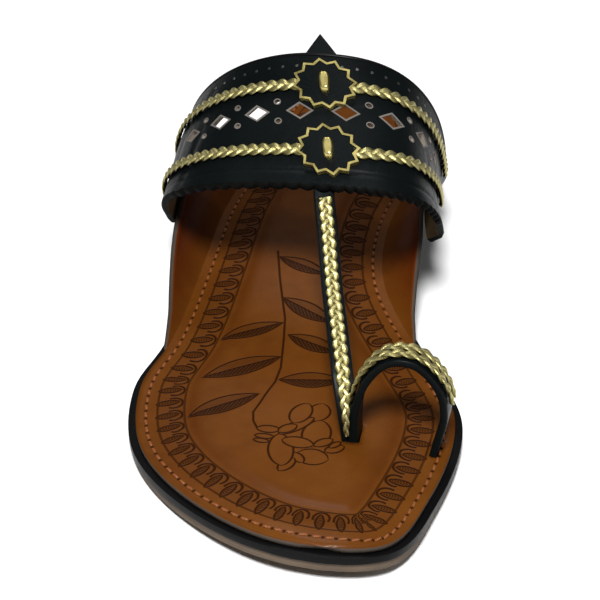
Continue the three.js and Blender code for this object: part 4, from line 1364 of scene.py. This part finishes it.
bm = bmesh.new()
bmesh.ops.create_grid(bm, x_segments=BAND_COLUMNS, y_segments=BAND_ROWS, size=1)
bmesh.ops.scale(bm, verts=bm.verts, vec=(FLAT_HALF + FLAT_TAIL, FLAT_DEPTH / 2, 1))
bmesh.ops.translate(bm, verts=bm.verts, vec=(0, FLAT_DEPTH / 2, 0))
extrude_up(bm, bm.faces[:], BAND_WALL)
bmesh.ops.recalc_face_normals(bm, faces=bm.faces)
for face in bm.faces:
    face.material_index = OUTSIDE if face.normal.z > 0.5 else LINING if face.normal.z < -0.5 else EDGE
band = make_piece(
    "band", bm, [black_leather, lining_leather, raw_leather, edge_black], ["upper"])
cuts = [diamond(spot, RIM_WIDTH) for spot in diamond_places]
for spot in pair_places:
    cuts += round_pair(spot, ROUND_HOLE)
cut(band, punches(cuts))

# %% Round its edge and bend it
BAND_SMOOTH_ANGLE = math.radians(50)
bm = bmesh.new()
bm.from_mesh(band.data)
bmesh.ops.triangulate(bm, faces=[face for face in bm.faces if len(face.verts) > 4])
bmesh.ops.bevel(
    bm, geom=[edge for edge in bm.edges if all(on_brink(vertex.co) for vertex in edge.verts)],
    offset=EDGE_ROUNDING, segments=3, profile=0.5, affect="EDGES", material=EDGE)
place(bm, bend_band)
bm.to_mesh(band.data)
bm.free()
band.data.shade_smooth()
band.data.set_sharp_from_angle(angle=BAND_SMOOTH_ANGLE)
print("band after punching:", len(band.data.polygons), "faces,", len(cuts), "cuts")

# %% [markdown]
# Each hole has a thin raised rim where the punch pressed the leather up. It is a narrow frame: the
# hole's outline, inset and extruded, then laid on the arch like the band itself. The rim of a diamond
# lies inside the solid's diamond, and the punched opening inside the rim.

# %% Rims of the holes
RIM_SINK = 0.1


def hole_rims():
    bm = bmesh.new()
    frames = [(diamond(spot), RIM_WIDTH) for spot in diamond_places]
    for spot in pair_places:
        frames += [(hole, ROUND_RIM_WIDTH) for hole in round_pair(spot, ROUND_HOLE + ROUND_RIM_WIDTH)]
    for points, width in frames:
        face = bm.faces.new([bm.verts.new((*point, BAND_WALL)) for point in points])
        face.normal_update()
        inset_frame(bm, face, width)
        bmesh.ops.delete(bm, geom=[face], context="FACES_ONLY")
    bmesh.ops.subdivide_edges(bm, edges=bm.edges, cuts=2, use_grid_fill=True)
    extrude_up(bm, bm.faces[:], RIM_HEIGHT)
    return bm


bm = hole_rims()
place(bm, lambda flat: on_band(*from_flat(flat[:, 0], flat[:, 1]), flat[:, 2] - RIM_SINK))
make_piece("diamond_rims", bm, [punched_leather], recalc=True)


# %% [markdown]
# ## Straps, bound edge and tab
# A strap is a long bar with softened edges, bent along its track. The toe strap is cut narrower on
# one side before its foot, where it goes down between the toes. The rear edge of the band is bound
# with a thin bar of the same kind, and a pointed tab stands out behind the crown.

# %% Straight bars
BAR_STEP = 0.8
STRAP_ROUNDING = 0.45


def long_edges(bm):
    return [edge for edge in bm.edges if abs(edge.verts[0].co.x - edge.verts[1].co.x) > 1e-6]


def bar(length, width, wall, rounding):
    """A bar along X, from 0 to its length, that stands on the plane of zero height."""
    bm = bmesh.new()
    bmesh.ops.create_cube(bm, size=1)
    bmesh.ops.scale(bm, verts=bm.verts, vec=(length, width, wall))
    bmesh.ops.translate(bm, verts=bm.verts, vec=(length / 2, 0, wall / 2))
    bmesh.ops.bevel(bm, geom=long_edges(bm), offset=rounding, segments=3, profile=0.5,
                    affect="EDGES", material=-1)
    bmesh.ops.subdivide_edges(bm, edges=long_edges(bm), cuts=round(length / BAR_STEP))
    return bm


def strap(name, track, width, wall, foot_share=1.0):
    """A strap on its track, cut narrower on one side over the last stretch before its foot."""
    bm = bar(track.length, width, wall, STRAP_ROUNDING)
    move_up(bm, bm.verts, -wall / 2)
    for vertex in bm.verts:
        reach = min(max((vertex.co.x - track.length) / STRAP_TAPER + 1, 0), 1)
        share = 1 - (1 - foot_share) * reach
        vertex.co.y = (vertex.co.y + width / 2) * share - width / 2
    place(bm, track.bend)
    make_piece(name, bm, [black_leather], ["upper"], recalc=True)


strap("toe_strap", strap_middle, STRAP_WIDTH, STRAP_WALL, STRAP_FOOT)
strap("toe_loop", loop_middle, LOOP_WIDTH, LOOP_WALL)

# %% Bound rear edge of the band
BINDING = 1.3
BINDING_ROUNDING = 0.6
BINDING_WALL = 1.8
BINDING_UP = 0.4
BINDING_END = 1.97
BINDING_STEPS = 360
rear_edge = {"lateral": 1.0, "crown": 1.0, "medial": 1.0}
track = band_track(rear_edge, -BINDING_END, BINDING_END, BINDING_UP, BINDING_STEPS)
bm = bar(track.length, BINDING, BINDING_WALL, BINDING_ROUNDING)
place(bm, track.bend)
make_piece("rear_binding", bm, [rim_black], ["upper"], recalc=True)


# %% Pointed tab behind the crown
TAB_UNDER = 8
TAB_SHOULDER = 0.5
TAB_WALL = 1.6
TAB_MARGIN = 1.2


def rear_tab():
    half = TAB_WIDTH / 2
    corners = [(-half, -TAB_UNDER), (half, -TAB_UNDER), (half, TAB_SHOULDER), (0, TAB_LENGTH),
               (-half, TAB_SHOULDER)]
    bm = bmesh.new()
    face = bm.faces.new([bm.verts.new((x, y, -TAB_DROP)) for x, y in corners])
    face.normal_update()
    inset_frame(bm, face, TAB_MARGIN)
    bmesh.ops.subdivide_edges(bm, edges=bm.edges, cuts=2, use_grid_fill=True)
    extrude_up(bm, bm.faces[:], TAB_WALL)
    return bm


def near_crown(row, offset=0.0):
    """A mapping that lays millimetres round a row's crown on the band."""
    def lay(flat):
        across, along = near_row(row, flat[:, 0] + offset, flat[:, 1])
        return on_band(across, along, flat[:, 2])
    return lay


bm = rear_tab()
place(bm, near_crown(1.0, TAB_ACROSS))
make_piece("rear_tab", bm, [black_leather], ["upper"], recalc=True)


# %% [markdown]
# ## Braid
# The braid is a real three-strand plait. Each strand swings from side to side once per pitch and
# rises twice, so it passes over one neighbour and under the other. A strand is a flat tube: a grid
# rolled up round its own line. The last step bends the plait along its track.

# %% Plaits
STRANDS = 3
STRAND_SIDES = 8
STRAND_STEP = 0.55
STRAND_WIDTH = 0.44
STRAND_THICKNESS = 0.5
PLAIT_THICKNESS = 0.86
PLAIT_PITCH = 10.5
NARROW_START = 0.6
NARROW_END = 0.35


def plait(track, start, end, width, offset=0.0, narrow_start=0.0, narrow_end=0.0):
    """A three-strand plait on a track between two lengths, narrowed towards an end if asked."""
    bm = bmesh.new()
    # each point's height in the plait, which the gold finish turns into painted shade and a painted
    # highlight
    lift = bm.verts.layers.float.new("lift")
    length = end - start
    steps = round(length / STRAND_STEP)
    strand, thick = width * STRAND_WIDTH, BRAID_THICKNESS * STRAND_THICKNESS
    swing, rise = (width - strand) / 2, (BRAID_THICKNESS * PLAIT_THICKNESS - thick) / 2
    for number in range(STRANDS):
        made = bmesh.ops.create_grid(bm, x_segments=steps, y_segments=STRAND_SIDES, size=1)["verts"]
        flat = places_of(made)
        run = (flat[:, 0] + 1) / 2 * length
        turn = 2 * np.pi * run / PLAIT_PITCH + 2 * np.pi * number / STRANDS
        angle = np.pi * flat[:, 1]
        narrow = np.ones(len(run))
        if narrow_start:
            narrow *= np.clip(NARROW_START + (1 - NARROW_START) * run / narrow_start, 0, 1)
        if narrow_end:
            narrow *= np.clip(NARROW_END + (1 - NARROW_END) * (length - run) / narrow_end, 0, 1)
        side = (swing * np.sin(turn) + strand / 2 * np.cos(angle)) * narrow + offset
        high = BRAID_THICKNESS / 2 + rise * np.sin(2 * turn) + thick / 2 * np.sin(angle)
        bent = track.bend(np.stack([start + run, side, high], axis=1))
        for vertex, spot, level in zip(made, bent, high / BRAID_THICKNESS):
            vertex.co = spot
            vertex[lift] = level
    bmesh.ops.remove_doubles(bm, verts=bm.verts, dist=0.002)
    bmesh.ops.holes_fill(bm, edges=[edge for edge in bm.edges if edge.is_boundary])
    return bm


def braid_piece(name, plaits, node):
    """Joins plaits into one piece that stands for a solid."""
    whole = bmesh.new()
    whole.verts.layers.float.new("lift")
    for bm in plaits:
        part = bpy.data.meshes.new("part")
        bm.to_mesh(part)
        bm.free()
        whole.from_mesh(part)
        bpy.data.meshes.remove(part)
    place(whole)
    make_piece(name, whole, [gold_braid], [node], recalc=True)


# %% Lay the plaits on the band, the toe strap and the toe loop
ROSETTE_OVERLAP = 0.4
BRAID_GAP = 0.05
STRAP_BRAID = (0.135, 0.93)
LOOP_BRAID = (0.17, 0.76)
for where in ("front", "rear"):
    row = ROWS[where]
    for side_name, side in SIDES.items():
        inner_end = side * (ROSETTE_RADIUS * ROSETTE_NOTCH - ROSETTE_OVERLAP)
        start = float(across_share(inner_end, row["crown"]))
        track = band_track(row, start, side * BRAID_END, BAND_WALL + BRAID_GAP)
        name = f"braid_{where}_{side_name}"
        braid_piece(f"plait_{where}_{side_name}", [plait(track, 0, track.length, BRAID_WIDTH)], name)

strap_top = strap_track(strap_points(), STRAP_SIDE, STRAP_WALL / 2)
start, end = (strap_top.length * share for share in STRAP_BRAID)
braid_piece(
    "plait_toe_strap", [plait(strap_top, start, end, BRAID_WIDTH, narrow_end=16)], "braid_toe_strap")
loop_top = strap_track(loop_points(), LOOP_SIDE, LOOP_WALL / 2)
start, end = (loop_top.length * share for share in LOOP_BRAID)
quarter = LOOP_BRAID_WIDTH / 4
braid_piece("plait_toe_loop", [
    plait(loop_top, start, end, LOOP_BRAID_WIDTH / 2, offset, narrow_start=8, narrow_end=9)
    for offset in (-quarter, quarter)
], "braid_toe_loop")


# %% [markdown]
# ## Rosettes and studs
# A rosette is a star of black leather with a gold edging. The star's outline is a circle of
# vertices, every second one pulled in. Insetting it gives the edging its width, and further insets
# give the leather enough rows to follow the arch.

# %% Cut the rosettes
EDGING = 0.7
GROOVE = 0.25
FACE_ROW = 1.5
FACE_ROWS = 3


def rosette_star():
    bm = bmesh.new()
    corners = bmesh.ops.create_circle(
        bm, cap_ends=True, segments=2 * ROSETTE_POINTS, radius=ROSETTE_RADIUS)["verts"]
    for index, vertex in enumerate(corners):
        vertex.co *= 1 if index % 2 == 0 else ROSETTE_NOTCH
    bmesh.ops.rotate(bm, verts=bm.verts, cent=(0, 0, 0),
                     matrix=Matrix.Rotation(math.pi / (2 * ROSETTE_POINTS), 3, "Z"))
    face = bm.faces[:][0]
    inset_frame(bm, face, EDGING)
    for rim in bm.faces:
        rim.material_index = 0 if rim == face else 1
    bmesh.ops.inset_region(bm, faces=[face], thickness=GROOVE, depth=-GROOVE, use_even_offset=True)
    for _ in range(FACE_ROWS):
        bmesh.ops.inset_region(bm, faces=[face], thickness=FACE_ROW, use_even_offset=False)
    extrude_up(bm, bm.faces[:], ROSETTE_THICKNESS)
    return bm


for where in ("front", "rear"):
    bm = rosette_star()
    move_up(bm, bm.verts, BAND_WALL + SEAT_GAP)
    place(bm, near_crown(ROWS[where]["crown"]))
    make_piece(f"rosette_{where}_star", bm, [black_leather, gold_edging],
               [f"rosette_{where}"], recalc=True)


# %% Bend the studs
SQUARENESS = 0.6
STUD_BACK = 0.15
STUD_STRETCH = 1.25
STUD_SINK = 0.1


def staple():
    """A rounded staple: a ball drawn out, with square shoulders, a flat top and a flat back."""
    bm = bmesh.new()
    bmesh.ops.create_uvsphere(bm, u_segments=28, v_segments=20, radius=1)
    bmesh.ops.rotate(bm, verts=bm.verts, cent=(0, 0, 0), matrix=Matrix.Rotation(math.pi / 2, 3, "X"))
    for vertex in bm.verts:
        x, y, z = vertex.co
        x, y = (math.copysign(abs(value) ** SQUARENESS, value) for value in (x, y))
        z = min(max(z, -STUD_BACK) * STUD_STRETCH, 1)
        vertex.co = (x * STUD_WIDTH / 2, y * STUD_LENGTH / 2, z * STUD_HEIGHT)
    return bm


for where in ("front", "rear"):
    bm = staple()
    move_up(bm, bm.verts, BAND_WALL + SEAT_GAP + ROSETTE_THICKNESS - STUD_SINK)
    place(bm, near_crown(ROWS[where]["crown"]))
    make_piece(f"staple_{where}", bm, [gold_stud], [f"stud_{where}"], recalc=True)


# %% [markdown]
# Small pale pricks run between the rear braid and the bound edge. Each is a low dome with a few
# faces, because a shape that is repeated often should stay light.

# %% Pricks along the rear edge
PRICK_ROW = {"lateral": 0.91, "crown": 0.91, "medial": 0.945}
PRICK_PITCH = 4.6
PRICK_SIZE = (0.6, 0.6, 0.2, 1)
PRICK_LIFT = 0.02


def pricks():
    bm = bmesh.new()
    track = band_track(PRICK_ROW, -0.98, 0.98, BAND_WALL)
    for number in range(int(track.length / PRICK_PITCH)):
        spot = Matrix.Translation(((number + 0.5) * PRICK_PITCH, 0, PRICK_LIFT))
        bmesh.ops.create_icosphere(
            bm, subdivisions=1, radius=1, matrix=spot @ Matrix.Diagonal(PRICK_SIZE))
    place(bm, track.bend)
    return bm


pale_prick = gold_metal("pale_prick", (0.06, 0.06, 0.058), (0.15, 0.15, 0.14), 0.42)
make_piece("rear_pricks", pricks(), [pale_prick])

# %% [markdown]
# ## Camera, floor and light
# The camera stands where the photograph's did, about 58 cm from the middle of the sandal and 34
# degrees up, and looks at it with a long lens.

# %% Camera
CAMERA_AT = (80, -509, 350.5)
LOOK_AT = (-1.3, -36.7, 27)
FOCAL_PIXELS = 1985
PICTURE_PIXELS = 600
SENSOR = 36
camera_data = bpy.data.cameras.new("camera")
camera_data.sensor_width = SENSOR
camera_data.lens = SENSOR * FOCAL_PIXELS / PICTURE_PIXELS
camera_data.clip_start = 0.05
camera = bpy.data.objects.new("camera", camera_data)
camera.location = Vector((np.array(CAMERA_AT) + SHIFT) * MM)
aim = Vector((np.array(LOOK_AT) + SHIFT) * MM) - camera.location
camera.rotation_euler = aim.to_track_quat("-Z", "Y").to_euler()
bpy.context.scene.collection.objects.link(camera)
bpy.context.scene.camera = camera
print(f"lens {camera_data.lens:.0f} mm, {aim.length:.2f} m from the sandal")

# %% Floor
FLOOR_SIZE = 8
bm = bmesh.new()
bmesh.ops.create_grid(bm, x_segments=4, y_segments=4, size=FLOOR_SIZE / 2)
pale = Finish("pale_floor", Base_Color=(0.86, 0.86, 0.86), Roughness=0.65)
add_object("floor", bm, [pale.material])
print(f"floor {FLOOR_SIZE} m wide")


# %% [markdown]
# The main light stands in front and about 50 degrees up, because the band's shadow falls back over the
# footbed in the photograph. A weak one behind gives the band its sheen, and a weak one on the right
# lifts the wing.

# %% Light
def soft_light(name, spot, aim_at, size, power):
    data = bpy.data.lights.new(name, "AREA")
    data.shape, data.size, data.energy = "DISK", size, power
    light = bpy.data.objects.new(name, data)
    light.location = spot
    light.rotation_euler = (Vector(aim_at) - Vector(spot)).to_track_quat("-Z", "Y").to_euler()
    bpy.context.scene.collection.objects.link(light)


soft_light("front", (0.06, -0.7, 1.04), (0, -0.02, 0.03), 0.3, 25)
soft_light("behind", (-0.15, 0.6, 1.1), (0, 0, 0.03), 0.6, 4.5)
soft_light("side", (1.1, -0.3, 0.8), (0, 0, 0.03), 0.6, 1.2)
world = bpy.data.worlds.new("studio")
bpy.context.scene.world = world
world.use_nodes = True
background = world.node_tree.nodes["Background"]
background.inputs["Color"].default_value = (1, 1, 1, 1)
background.inputs["Strength"].default_value = 0.06
bpy.context.scene.view_settings.view_transform = "Standard"
print("lights:", *[light.name for light in bpy.data.lights])
